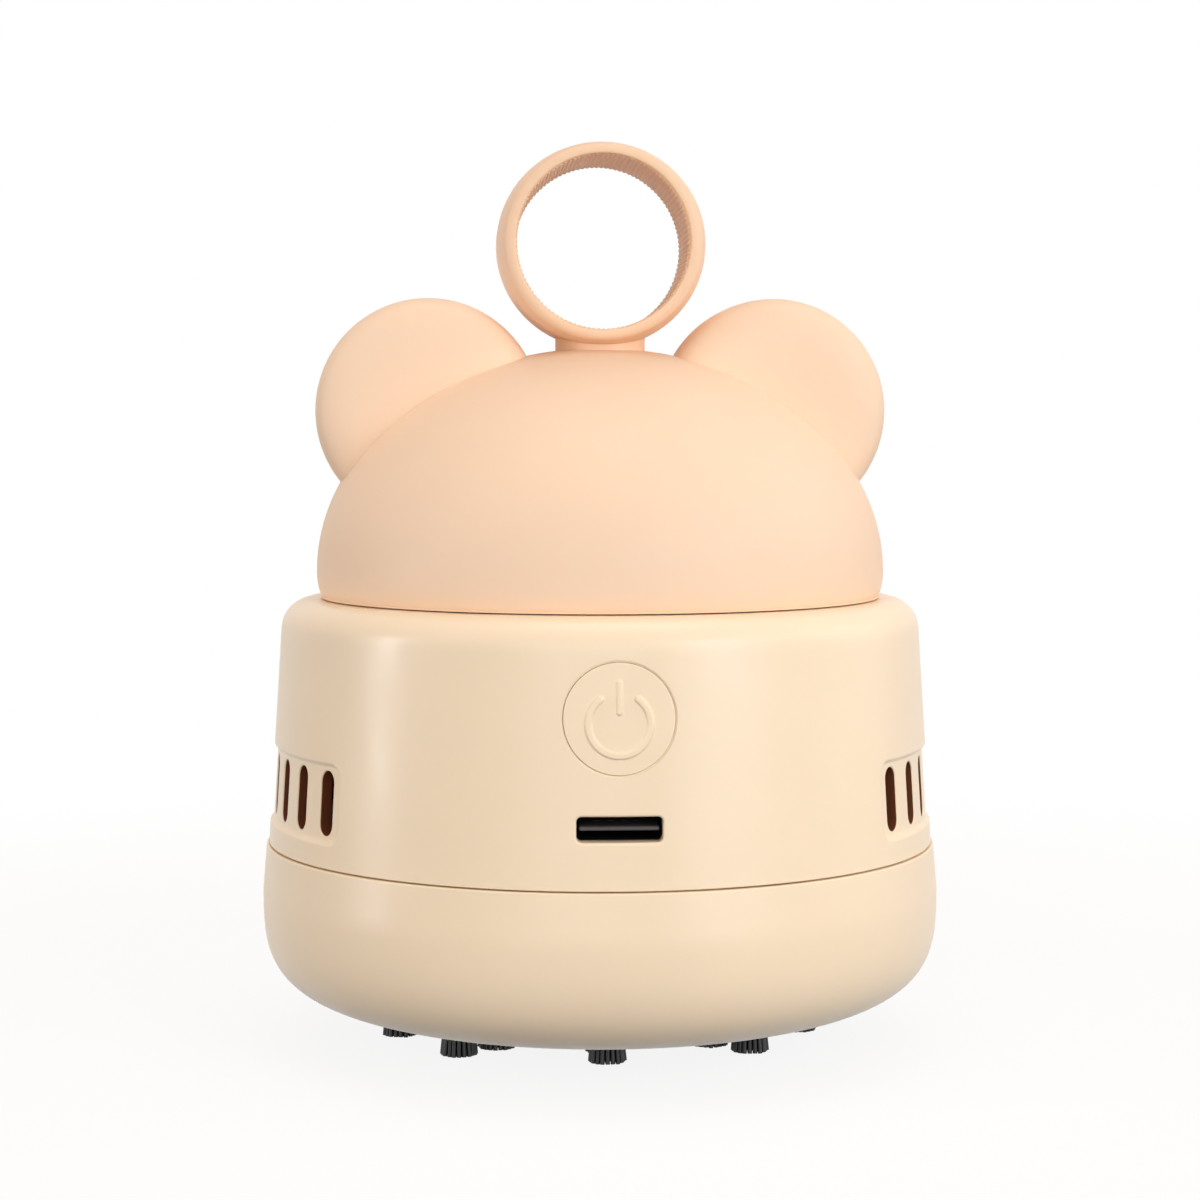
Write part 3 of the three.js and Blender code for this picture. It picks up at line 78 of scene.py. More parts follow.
def rounded(corners, steps=5):
    # a corner with a third number is turned into an arc of that radius
    points = []
    for i, corner in enumerate(corners):
        here = Vector(corner[:2])
        radius = corner[2] if len(corner) > 2 else 0
        if radius == 0:
            points.append(here)
            continue
        before = (Vector(corners[i - 1][:2]) - here).normalized()
        after = (Vector(corners[(i + 1) % len(corners)][:2]) - here).normalized()
        half = before.angle(after) / 2
        centre = here + (before + after).normalized() * radius / math.sin(half)
        start = here + before * radius / math.tan(half) - centre
        end = here + after * radius / math.tan(half) - centre
        turned = math.atan2(start.cross(end), start.dot(end))
        for step in range(steps + 1):
            points.append(centre + Matrix.Rotation(turned * step / steps, 2) @ start)
    return points


def refined(points, stepAt, closed=False):
    # splits each stretch in halves until it is as short as stepAt says, or allows there
    result = []

    def split(start, end):
        middle = (start + end) / 2
        if (end - start).length <= (stepAt(middle) if callable(stepAt) else stepAt):
            result.append(start)
        else:
            split(start, middle)
            split(middle, end)

    stretches = zip(points, points[1:] + points[:1]) if closed else zip(points, points[1:])
    for start, end in stretches:
        split(start, end)
    if not closed:
        result.append(points[-1])
    return result


def refinedAngles(stepAt):
    result = []

    def split(start, end):
        middle = (start + end) / 2
        if end - start <= stepAt(middle):
            result.append(start)
        else:
            split(start, middle)
            split(middle, end)

    for quarter in range(4):
        split(quarter * 90.0, quarter * 90.0 + 90.0)
    return np.radians(result)


def bendCurve(innerR, outerR, lowZ, highZ, power, steps):
    # from flat to upright, as a superellipse bends
    points = []
    for i in range(steps + 1):
        angle = i / steps * math.pi / 2
        across = math.sin(angle) ** (2 / power)
        up = 1 - max(0.0, math.cos(angle)) ** (2 / power)
        points.append(Vector((innerR + (outerR - innerR) * across, lowZ + (highZ - lowZ) * up)))
    return points


def arcPoints(radius, startAngle, endAngle, steps, centre=(0, 0)):
    angles = np.radians(np.linspace(startAngle, endAngle, steps + 1))
    return [(centre[0] + radius * math.cos(a), centre[1] + radius * math.sin(a)) for a in angles]


def circlePoints(radius, sides):
    return arcPoints(radius, 0, 360 * (sides - 1) / sides, sides - 1)


def stadium(width, height, offset, steps=14):
    radius = width / 2 + offset
    straight = (height - width) / 2
    top = arcPoints(radius, 0, 180, steps, (0, straight))
    return top + arcPoints(radius, 180, 360, steps, (0, -straight))


def roundedBox(width, height, corner, offset, steps=6, straightSteps=14):
    # its level edges are split, so that they can follow a round wall
    radius = corner + offset
    points = []
    for quarter, (signX, signZ) in enumerate([(1, 1), (-1, 1), (-1, -1), (1, -1)]):
        centre = (signX * (width / 2 - corner), signZ * (height / 2 - corner))
        points += arcPoints(radius, quarter * 90, quarter * 90 + 90, steps, centre)
        if quarter in (0, 2):
            x, z = points[-1]
            points += [(x * (1 - 2 * i / straightSteps), z) for i in range(1, straightSteps)]
    return points


# Meshes


def newObject(name, vertices, faces):
    mesh = bpy.data.meshes.new(name)
    mesh.from_pydata([tuple(v) for v in vertices], [], faces)
    obj = bpy.data.objects.new(name, mesh)
    bpy.context.scene.collection.objects.link(obj)
    return obj


def cleanMesh(obj):
    work = bmesh.new()
    work.from_mesh(obj.data)
    bmesh.ops.remove_doubles(work, verts=work.verts, dist=weld)
    bmesh.ops.recalc_face_normals(work, faces=work.faces)
    work.to_mesh(obj.data)
    work.free()


def loft(name, rings, closed=False, capped=False):
    # joins rings of equal length; a ring of one point is a pole
    vertices, faces, starts = [], [], []
    for ring in rings:
        starts.append(len(vertices))
        vertices.extend(ring)
    pairs = [(i, i + 1) for i in range(len(rings) - 1)]
    if closed:
        pairs.append((len(rings) - 1, 0))
    for one, other in pairs:
        a, b = starts[one], starts[other]
        sizeA, sizeB = len(rings[one]), len(rings[other])
        for i in range(max(sizeA, sizeB)):
            j = (i + 1) % max(sizeA, sizeB)
            if sizeA == 1:
                faces.append((a, b + j, b + i))
            elif sizeB == 1:
                faces.append((a + i, a + j, b))
            else:
                faces.append((a + i, a + j, b + j, b + i))
    if capped:
        faces.append(tuple(range(len(rings[0])))[::-1])
        faces.append(tuple(range(starts[-1], starts[-1] + len(rings[-1]))))
    obj = newObject(name, vertices, faces)
    cleanMesh(obj)
    return obj


def lathe(name, outline, angles, closed=False, relief=None):
    # turns an outline about the upright axis; relief gives how far a row is sunk at each angle
    if isinstance(angles, int):
        angles = np.linspace(0, fullTurn, angles, endpoint=False)
    rings = []
    for radius, height in outline:
        if radius < coordLimit:
            rings.append([(0, 0, height)])
            continue
        radii = np.full(len(angles), float(radius))
        if relief:
            radii -= relief(radius, height, angles)
        heights = np.full(len(angles), float(height))
        rings.append(np.stack([radii * np.cos(angles), radii * np.sin(angles), heights], 1))
    return loft(name, rings, closed)


def place(obj, turn=None, move=(0, 0, 0)):
    matrix = Matrix.Translation(Vector(move))
    if turn:
        matrix = matrix @ Matrix.Rotation(math.radians(turn[0]), 4, turn[1])
    obj.data.transform(matrix)
    return obj


def bakeModifiers(obj):
    graph = bpy.context.evaluated_depsgraph_get()
    graph.update()
    mesh = bpy.data.meshes.new_from_object(obj.evaluated_get(graph))
    old = obj.data
    obj.modifiers.clear()
    obj.data = mesh
    bpy.data.meshes.remove(old)
    return obj


def combine(obj, other, operation):
    modifier = obj.modifiers.new("combine", "BOOLEAN")
    modifier.operation = operation
    modifier.solver = "EXACT"
    modifier.object = other
    bakeModifiers(obj)
    bpy.data.objects.remove(other)
    return obj


def joined(name, objects):
    vertices, faces = [], []
    for obj in objects:
        start = len(vertices)
        vertices += [tuple(v.co) for v in obj.data.vertices]
        faces += [tuple(start + i for i in face.vertices) for face in obj.data.polygons]
        bpy.data.objects.remove(obj)
    return newObject(name, vertices, faces)


def finishPiece(obj, body, slot, nodes=(), material=None, sharpAngle=38):
    # smooth shading with crisp edges, metres, and the calls that tie a piece to its body
    mesh = obj.data
    mesh.shade_smooth()
    mesh.set_sharp_from_angle(angle=math.radians(sharpAngle))
    weighted = obj.modifiers.new("weighted", "WEIGHTED_NORMAL")
    weighted.keep_sharp = True
    bakeModifiers(obj)
    obj.data.transform(Matrix.Scale(1 / perMetre, 4))
    obj.data.name = obj.name
    obj.data.materials.clear()
    obj.data.materials.append(material or finishes[slot])
    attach(obj, body)
    if nodes:
        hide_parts(*nodes)
    return obj


# Geometry Nodes

socketKinds = {int: "Int", float: "Float", tuple: "Vector"}


def newTree(name, values):
    # a named input for each value, of the value's own kind; what is no number is a material
    tree = bpy.data.node_groups.new(name, "GeometryNodeTree")
    tree.interface.new_socket("Geometry", in_out="INPUT", socket_type="NodeSocketGeometry")
    for label, value in values.items():
        kind = socketKinds.get(type(value), "Material")
        tree.interface.new_socket(label, in_out="INPUT", socket_type="NodeSocket" + kind)
    tree.interface.new_socket("Geometry", in_out="OUTPUT", socket_type="NodeSocketGeometry")
    given = tree.nodes.new("NodeGroupInput").outputs
    return tree, given


def feed(tree, socket, value):
    if isinstance(value, bpy.types.NodeSocket):
        tree.links.new(value, socket)
    else:
        socket.default_value = value


def addNode(tree, kind, settings=None, **links):
    node = tree.nodes.new(kind)
    for key, value in (settings or {}).items():
        setattr(node, key, value)
    for label, value in links.items():
        feed(tree, node.inputs[label.replace("_", " ")], value)
    return node


def calc(tree, operation, *values):
    node = tree.nodes.new("ShaderNodeMath")
    node.operation = operation
    for i, value in enumerate(values):
        feed(tree, node.inputs[i], value)
    return node.outputs[0]


def vector(tree, **parts):
    return addNode(tree, "ShaderNodeCombineXYZ", **parts).outputs[0]


def vectorSum(tree, one, other):
    node = addNode(tree, "ShaderNodeVectorMath", {"operation": "ADD"})
    tree.links.new(one, node.inputs[0])
    tree.links.new(other, node.inputs[1])
    return node.outputs[0]


def swung(tree, radiusX, radiusY, angle):
    # the two sides of a point at this angle of an oval
    across = calc(tree, "MULTIPLY", radiusX, calc(tree, "COSINE", angle))
    return across, calc(tree, "MULTIPLY", radiusY, calc(tree, "SINE", angle))


def copyIndex(tree):
    return addNode(tree, "GeometryNodeInputIndex").outputs[0]


def evenTurn(tree, count):
    return calc(tree, "DIVIDE", calc(tree, "MULTIPLY", copyIndex(tree), fullTurn), count)


def fromMiddle(tree, index, count):
    middle = calc(tree, "DIVIDE", calc(tree, "SUBTRACT", count, 1.0), 2.0)
    return calc(tree, "SUBTRACT", index, middle)


def randomBetween(tree, low, high, seed):
    node = addNode(tree, "FunctionNodeRandomValue", {"data_type": "FLOAT"}, Seed=seed)
    feed(tree, node.inputs[2], low)
    feed(tree, node.inputs[3], high)
    return node.outputs[1]


def pointsAt(tree, count, spot):
    return addNode(tree, "GeometryNodePoints", Count=count, Position=spot).outputs[0]


def copiesAt(tree, points, shape, **more):
    copies = addNode(tree, "GeometryNodeInstanceOnPoints", Points=points, Instance=shape, **more)
    return copies.outputs[0]


def endTree(tree, geometry, materialSocket):
    real = addNode(tree, "GeometryNodeRealizeInstances", Geometry=geometry)
    dressed = addNode(tree, "GeometryNodeSetMaterial", Geometry=real.outputs[0], Material=materialSocket)
    out = tree.nodes.new("NodeGroupOutput")
    tree.links.new(dressed.outputs[0], out.inputs[0])
    return tree


def growNodes(obj, tree, values):
    # sets each named input by its socket's identifier, then turns the result into a plain mesh
    modifier = obj.modifiers.new(tree.name, "NODES")
    modifier.node_group = tree
    for item in tree.interface.items_tree:
        if item.item_type == "SOCKET" and item.in_out == "INPUT" and item.name in values:
            modifier[item.identifier] = values[item.name]
    return bakeModifiers(obj)


def copiesRound(obj, count, pitchAngle, fans=1):
    # copies of a shape round the upright axis, in fans that are spread evenly over the turn
    values = {
        "Count": count, "Pitch": math.radians(pitchAngle), "Fans": fans,
        "Material": finishes["cream_shell"]}
    tree, given = newTree("copies_round", values)
    index = copyIndex(tree)
    step = fromMiddle(tree, calc(tree, "MODULO", index, given["Count"]), given["Count"])
    fan = calc(tree, "FLOOR", calc(tree, "DIVIDE", index, given["Count"]))
    fanAngle = calc(tree, "MULTIPLY", fan, calc(tree, "DIVIDE", fullTurn, given["Fans"]))
    angle = calc(tree, "ADD", calc(tree, "MULTIPLY", step, given["Pitch"]), fanAngle)
    total = calc(tree, "MULTIPLY", given["Count"], given["Fans"])
    points = pointsAt(tree, total, (0, 0, 0))
    copies = copiesAt(tree, points, given["Geometry"], Rotation=vector(tree, Z=angle))
    return growNodes(obj, endTree(tree, copies, given["Material"]), values)


def copiesEven(obj, count):
    return copiesRound(obj, count, 360 / count)


# Materials. Every pattern reads Object coordinates, in metres.

print("scene: materials")


def linear(colour):
    shares = [channel / 255 for channel in colour]
    return [s / 12.92 if s <= 0.04045 else ((s + 0.055) / 1.055) ** 2.4 for s in shares]


def shaded(colour, factor):
    return [min(1.0, channel * factor) for channel in linear(colour)] + [1.0]


def objectCoords(tree):
    return addNode(tree, "ShaderNodeTexCoord").outputs["Object"]


def noise(tree, size, stretch=(1, 1, 1), detail=2.0):
    mapped = addNode(tree, "ShaderNodeMapping", Vector=objectCoords(tree), Scale=stretch).outputs[0]
    texture = addNode(tree, "ShaderNodeTexNoise", Vector=mapped, Scale=1 / size, Detail=detail)
    return texture.outputs[0]


def ranged(tree, value, low, high, start=0.3, end=0.7):
    node = addNode(tree, "ShaderNodeMapRange", Value=value)
    for label, number in zip(["From Min", "From Max", "To Min", "To Max"], [start, end, low, high]):
        node.inputs[label].default_value = number
    return node.outputs[0]


def mixed(tree, factor, first, second):
    node = tree.nodes.new("ShaderNodeMix")
    node.data_type = "RGBA"
    for index, value in [(0, factor), (6, first), (7, second)]:
        feed(tree, node.inputs[index], value)
    return node.outputs[2]


plainLook = {
    "patch": 0.018,  # size of the patches in which the tone drifts
    "drift": 0.03,
    "grain": 0.00025,
    "stretch": (1, 1, 1),
    "speck": 0.0,
    "rough": 0.45,
    "roughDrift": 0.04,
    "smudge": 0.006,
    "bump": 0.25,
    "depth": 0.00001,
    "metal": 0.0,
    "ior": 1.46,
    "skin": 0.0,  # share of the light that scatters under the surface
    "skinReach": (1.0, 0.62, 0.38),
    "skinDepth": 0.0012,
}


def makeFinish(name, look):
    # two near tones that drift, a roughness that drifts, and a fine grain in the surface
    look = {**plainLook, **look}
    material = bpy.data.materials.new(name)
    material.use_nodes = True
    tree = material.node_tree
    shader = tree.nodes["Principled BSDF"]
    patch = noise(tree, look["patch"])
    darker = shaded(look["colour"], 1 - look["drift"])
    lighter = shaded(look["colour"], 1 + look["drift"])
    base = mixed(tree, ranged(tree, patch, 0.0, 1.0), darker, lighter)
    grain = noise(tree, look["grain"], look["stretch"])
    if look["speck"]:
        fleck = shaded(look["colour"], 1 - look["speck"])
        base = mixed(tree, ranged(tree, grain, 0.0, 1.0, start=0.5, end=0.75), base, fleck)
    tree.links.new(base, shader.inputs["Base Color"])
    rough, spread = look["rough"], look["roughDrift"]
    smudge = noise(tree, look["smudge"], look["stretch"], detail=3.0)
    tree.links.new(ranged(tree, smudge, rough - spread, rough + spread), shader.inputs["Roughness"])
    bump = addNode(tree, "ShaderNodeBump", Height=grain, Strength=look["bump"], Distance=look["depth"])
    tree.links.new(bump.outputs[0], shader.inputs["Normal"])
    shader.inputs["Metallic"].default_value = look["metal"]
    shader.inputs["IOR"].default_value = look["ior"]
    if look["skin"]:
        shader.inputs["Subsurface Weight"].default_value = look["skin"]
        shader.inputs["Subsurface Radius"].default_value = look["skinReach"]
        shader.inputs["Subsurface Scale"].default_value = look["skinDepth"]
    return material


def objectPlace(tree):
    return addNode(tree, "ShaderNodeSeparateXYZ", Vector=objectCoords(tree)).outputs


def apart(tree, across, up):
    squares = calc(tree, "ADD", calc(tree, "MULTIPLY", across, across), calc(tree, "MULTIPLY", up, up))
    return calc(tree, "SQRT", squares)


def toned(material, share, colour):
    # brings another colour in by a share that differs over the piece
    tree = material.node_tree
    base = tree.nodes["Principled BSDF"].inputs["Base Color"]
    plain = base.links[0].from_socket
    tree.links.new(mixed(tree, share, plain, shaded(colour, 1.0)), base)
    return material


looks = {
    "cream_shell": {"colour": (250, 231, 202), "rough": 0.33, "skin": 0.1, "drift": 0.01},
    "peach_shell": {"colour": (249, 220, 192), "rough": 0.56, "skin": 0.12, "drift": 0.012},
    "ring_shell": {"colour": (248, 212, 180), "rough": 0.5, "skin": 0.12, "drift": 0.016},
    "bristle": {"colour": (19, 18, 19), "rough": 0.42, "grain": 0.0004, "drift": 0.25},
    "inner_plastic": {"colour": (112, 64, 40), "rough": 0.55, "drift": 0.06},
    "dark_plastic": {"colour": (30, 30, 33), "rough": 0.45, "drift": 0.1},
    "felt": {
        "colour": (236, 233, 224), "rough": 0.95, "grain": 0.0003, "bump": 0.9,
        "depth": 0.00012, "speck": 0.12, "drift": 0.03},
    "seal_rubber": {"colour": (52, 52, 54), "rough": 0.75, "bump": 0.4, "drift": 0.08},
    "steel": {
        "colour": (188, 190, 194), "rough": 0.32, "metal": 1.0, "stretch": (1, 1, 14),
        "bump": 0.3, "drift": 0.05},
    "bronze": {"colour": (198, 160, 96), "rough": 0.4, "metal": 1.0, "speck": 0.2, "drift": 0.08},
    "ferrite": {"colour": (58, 58, 62), "rough": 0.6, "speck": 0.3, "drift": 0.08},
    "copper": {
        "colour": (178, 104, 62), "rough": 0.35, "metal": 1.0, "grain": 0.0005,
        "stretch": (0.1, 0.1, 1), "bump": 0.8, "depth": 0.0001, "drift": 0.12},
    "board": {"colour": (30, 104, 62), "rough": 0.4, "patch": 0.002, "drift": 0.2},
    "cell_wrap": {"colour": (58, 108, 178), "rough": 0.28, "drift": 0.04},
    "red_wire": {"colour": (176, 36, 30), "rough": 0.5, "drift": 0.06},
    "black_wire": {"colour": (26, 26, 28), "rough": 0.5, "drift": 0.1},
}
finishes = {slot: makeFinish(slot, look) for slot, look in looks.items()}

for part in frame["record"]["subparts"]:
    node = frame["nodes"][part["node"]]
    if not node.material_slots:
        node.data.materials.append(None)
    for holder in node.material_slots:
        holder.material = finishes[part["material_slot"]]
blackPlating = {"colour": (18, 18, 20), "rough": 0.55, "metal": 0.4, "drift": 0.1}
fanPlastic = {"colour": (64, 36, 26), "rough": 0.5, "drift": 0.08}
frame["nodes"]["usb_socket_shell"].material_slots[0].material = makeFinish("black_plating", blackPlating)
frame["nodes"]["impeller"].material_slots[0].material = makeFinish("fan_plastic", fanPlastic)

# Main housing

print("scene: main housing")

housing = {
    "rimRadius": reach("main_housing", 0),
    "rimZ": foot("main_housing"),
    "deckZ": reach("main_housing", 2),
    "taper": 2.0,
    "seam": 0.07,  # how far each rim reaches into the joint
    "wall": 2.0,
    "deck": 2.0,
    "shoulder": 3.8,
    "edge": 0.16,
    "innerBend": 1.2,
    "motorHole": 13.7,
    "postCircle": 33.82,
    "postRadius": 2.6,
    "postFoot": 40.75,
    "posts": 3,
    "postSides": 32,
    "domeScrews": 4,
    "arcSteps": 8,
    "pilotRadius": 1.4,
    "pilotDepth": 8.0,
    "domeScrewCircle": 27.0,
    "leadHoleRadius": 1.7,
    "leadHole": (10.0, -18.0),
    "gridAngle": 1.0,
    "gridRise": 1.0,
    "innerRise": 1.5,
}
vents = {
    "rise": 3.75,  # from the rim to the foot of the slots
    "height": 7.8,
    "width": 2.75,
    "count": 9,
    "pitchAngle": 8.75,
    "panelDepth": 0.45,
    "panelMargin": 1.1,
    "panelHalfAngle": 39.5,
    "panelCorner": 2.0,
    "panelBevel": 0.6,
    "fineAngle": 0.22,
    "fineRise": 0.16,
    "fineReach": (-0.8, 3.6),  # degrees within the panel's side between which the mesh is fine
    "shadeFrom": 0.57,  # below this depth the inside is painted dark brown as shade
    "shadeTo": 0.64,
    "shadeBeside": 12.0,  # the painted shade keeps this far to the side of the port and the button
    # how far below the panel, and how much wider than the slot
    "flare": [(3.4, 0), (0.18, 0), (0.11, 0.02), (0.05, 0.06), (0.01, 0.1), (0, 0.14), (-0.7, 1.4)],
}


def wallRadius(z):
    share = (z - housing["rimZ"]) / (housing["deckZ"] - housing["rimZ"])
    return housing["rimRadius"] - housing["taper"] * share


def onWall(x, z, sink):
    # a point of the wall at x across its front, sunk by a distance
    return (x, -math.sqrt((wallRadius(z) - sink) ** 2 - x * x), z)


def wallCutter(name, shapeAt, middleZ, sections):
    rings = []
    for sink, offset in sections:
        rings.append([onWall(x, middleZ + z, sink) for x, z in shapeAt(offset)])
    return loft(name, rings, capped=True)


def ventPanelSink(radius, height, angles):
    if radius < wallRadius(height) - housing["wall"] / 2:
        return np.zeros(len(angles))
    middleZ = housing["rimZ"] + vents["rise"] + vents["height"] / 2
    halfHigh = vents["height"] / 2 + vents["panelMargin"]
    halfWide = math.radians(vents["panelHalfAngle"]) * radius
    fromSide = np.abs((angles + math.pi / 2) % math.pi - math.pi / 2) * radius
    corner = vents["panelCorner"]
    acrossGap = fromSide - (halfWide - corner)
    upGap = abs(height - middleZ) - (halfHigh - corner)
    outside = np.hypot(np.maximum(acrossGap, 0), max(upGap, 0))
    inside = np.minimum(np.maximum(acrossGap, upGap), 0)
    depth = np.clip((corner - outside - inside) / vents["panelBevel"], 0, 1)
    return vents["panelDepth"] * depth * depth * (3 - 2 * depth)


def makeHousing():
    h = housing
    deckUnder = h["deckZ"] - h["deck"]
    topRadius = h["rimRadius"] - h["taper"]
    rimZ = h["rimZ"] - h["seam"]
    corners = [
        (h["rimRadius"], rimZ, h["edge"]),
        (topRadius, h["deckZ"], h["shoulder"]),
        (h["motorHole"], h["deckZ"], h["edge"]),
        (h["motorHole"], deckUnder, h["edge"]),
        (wallRadius(deckUnder) - h["wall"], deckUnder, h["innerBend"]),
        (h["rimRadius"] - h["wall"], rimZ, h["edge"]),
    ]
    panelFoot = h["rimZ"] + vents["rise"] - vents["panelMargin"]
    panelTop = panelFoot + vents["height"] + 2 * vents["panelMargin"]
    fineBand = vents["panelCorner"] + vents["panelBevel"]

    def stepAt(point):
        if point.x < wallRadius(point.y) - h["wall"] / 2:
            return h["innerRise"]
        fromFoot = point.y - panelFoot
        fromTop = panelTop - point.y
        near = min(abs(fromFoot), abs(fromTop)) < vents["panelBevel"]
        near = near or 0 < fromFoot < fineBand or 0 < fromTop < fineBand
        return vents["fineRise"] if near else h["gridRise"]

    def angleStepAt(angle):
        inPanel = vents["panelHalfAngle"] - abs((angle + 90) % 180 - 90)
        low, high = vents["fineReach"]
        return vents["fineAngle"] if low < inPanel < high else h["gridAngle"]

    outline = refined(rounded(corners, h["arcSteps"]), stepAt, True)
    shell = lathe("main_housing_shell", outline, refinedAngles(angleStepAt), True, ventPanelSink)

    postTop = deckUnder + h["deck"] / 2
    post = pin(h["postRadius"], 0, h["postCircle"], h["postFoot"], postTop, h["postSides"])
    combine(shell, copiesEven(post, h["posts"]), "UNION")
    return shell


def pin(radius, x, y, low, high, steps=24):
    return place(lathe("pin", [(0, low), (radius, low), (radius, high), (0, high)], steps), move=(x, y, 0))


def cutHousing(shell):
    h = housing
    middleZ = h["rimZ"] + vents["rise"] + vents["height"] / 2
    sections = [(vents["panelDepth"] + sink, offset) for sink, offset in vents["flare"]]
    slot = wallCutter(
        "slot", lambda offset: stadium(vents["width"], vents["height"], offset), middleZ, sections)
    place(slot, turn=(90, "Z"))
    combine(shell, copiesRound(slot, vents["count"], vents["pitchAngle"], 2), "DIFFERENCE")

    hole = wallCutter(
        "button_hole",
        lambda offset: circlePoints(button["radius"] + button["gap"] + offset, button["holeSides"]),
        button["z"], button["groove"])
    combine(shell, hole, "DIFFERENCE")
    mouth = wallCutter(
        "port_hole", lambda offset: roundedBox(port["width"], port["height"], port["corner"], offset),
        port["z"], port["lip"])
    combine(shell, mouth, "DIFFERENCE")

    deckLow, deckHigh = h["deckZ"] - h["deck"] - overrun, h["deckZ"] + overrun
    screwHole = pin(h["pilotRadius"], h["domeScrewCircle"], 0, deckLow, deckHigh)
    screwHoles = copiesEven(screwHole, h["domeScrews"])
    leadX, leadY = h["leadHole"]
    leadHoles = [pin(h["leadHoleRadius"], side * leadX, leadY, deckLow, deckHigh) for side in (-1, 1)]
    pilotLow, pilotHigh = h["postFoot"] - overrun, h["postFoot"] + h["pilotDepth"]
    pilot = pin(h["pilotRadius"], 0, h["postCircle"], pilotLow, pilotHigh)
    pilots = copiesEven(pilot, h["posts"])
    combine(shell, joined("deck_holes", [screwHoles, *leadHoles, pilots]), "DIFFERENCE")
    # the housing's inside gets painted shade, dark brown behind the vents
    paintedShade = paintInsideShade(makeFinish("cream_shell_inside_shade", looks["cream_shell"]))
    return finishPiece(shell, "housing", "cream_shell", ["main_housing"], paintedShade)


def paintInsideShade(material):
    # painted shade: behind the vents and along the slots the cream plastic is painted dark brown, where
    # the inside lies in shade
    h = housing
    tree = material.node_tree
    x, y, z = objectPlace(tree)
    fromAxis = apart(tree, x, y)
    slope = h["taper"] / (h["deckZ"] - h["rimZ"])
    above = calc(tree, "SUBTRACT", z, h["rimZ"] / perMetre)
    outside = calc(tree, "SUBTRACT", h["rimRadius"] / perMetre, calc(tree, "MULTIPLY", above, slope))
    depth = calc(tree, "SUBTRACT", outside, fromAxis)
    deep = ranged(tree, depth, 0.0, 1.0, vents["shadeFrom"] / perMetre, vents["shadeTo"] / perMetre)
    belowDeck = calc(tree, "LESS_THAN", z, (h["deckZ"] - h["deck"]) / perMetre)
    beside = calc(tree, "GREATER_THAN", calc(tree, "ABSOLUTE", x), vents["shadeBeside"] / perMetre)
    paintedShade = calc(tree, "MULTIPLY", calc(tree, "MULTIPLY", deep, belowDeck), beside)
    return toned(material, paintedShade, looks["inner_plastic"]["colour"])


# Push button with its raised power symbol

buttonLow, buttonHigh = nodeBox("power_button")
button = {
    "z": (buttonLow.z + buttonHigh.z) / 2,
    "radius": 6.43,
    "gap": 0.2,
    "holeSides": 144,
    # depth below the wall, and how much wider than the groove
    "groove": [(5, -0.15), (0.2, -0.15), (0.18, 0), (0.06, 0), (0.02, 0.02), (0, 0.06), (-0.6, 0.8)],
    "flangeRadius": (buttonHigh.z - buttonLow.z) / 2,
    "flangeThickness": 1.2,
    "stemRadius": 2.0,
    "stemLength": 1.5,
    "edge": 0.08,
    "edgeSteps": 4,
    "rings": 124,
    "columns": 384,
    "symbolRadius": 3.58,
    "symbolDrop": 0.62,
    "openAngle": 38.0,
    "strokeHalf": 0.46,
    "barHalf": 0.38,
    "barTop": 5.12,
    "barLength": 4.14,
    "proud": 0.24,
    "flank": 0.27,  # width of the symbol's sloping sides
}


def symbolHeight(x, z):
    b = button
    z = z + b["symbolDrop"]
    angle = abs(math.atan2(x, z))
    openAngle = math.radians(b["openAngle"])
    if angle > openAngle:
        fromArc = abs(math.hypot(x, z) - b["symbolRadius"])
    else:
        endX, endZ = b["symbolRadius"] * math.sin(openAngle), b["symbolRadius"] * math.cos(openAngle)
        fromArc = math.hypot(abs(x) - endX, z - endZ)
    low, high = b["barTop"] - b["barLength"] + b["barHalf"], b["barTop"] - b["barHalf"]
    fromBar = math.hypot(x, z - min(max(z, low), high))
    inside = max(b["strokeHalf"] - fromArc, b["barHalf"] - fromBar)
    share = min(max(inside / b["flank"], 0.0), 1.0)
    return b["proud"] * share * (2 - share)


def makeButton():
    b = button
    flangeY = buttonHigh.y - b["flangeThickness"] - b["stemLength"]
    angles = np.linspace(0, fullTurn, b["columns"], endpoint=False)
    rings = [[onWall(0, b["z"], -symbolHeight(0, 0))]]

    def faceRing(radius, sink):
        ring = []
        for angle in angles:
            x, z = radius * math.cos(angle), radius * math.sin(angle)
            ring.append(onWall(x, b["z"] + z, sink - symbolHeight(x, z)))
        return ring

    def flatRing(radius, y):
        return [(radius * math.cos(a), y, b["z"] + radius * math.sin(a)) for a in angles]

    flat = b["radius"] - b["edge"]
    for i in range(1, b["rings"] + 1):
        rings.append(faceRing(flat * i / b["rings"], 0))
    for step in range(1, b["edgeSteps"] + 1):
        angle = step / b["edgeSteps"] * math.pi / 2
        rings.append(faceRing(flat + b["edge"] * math.sin(angle), b["edge"] * (1 - math.cos(angle))))
    backY = flangeY + b["flangeThickness"]
    rings += [flatRing(b["radius"], flangeY), flatRing(b["flangeRadius"], flangeY)]
    rings += [flatRing(b["flangeRadius"], backY), flatRing(b["stemRadius"], backY)]
    rings += [flatRing(b["stemRadius"], buttonHigh.y), [(0, buttonHigh.y, b["z"])]]
    piece = loft("power_button_cap", rings)
    return finishPiece(piece, "button", "cream_shell", ["power_button"], sharpAngle=60)


# Charging socket: the mouth in the wall, and the tongue with its contacts

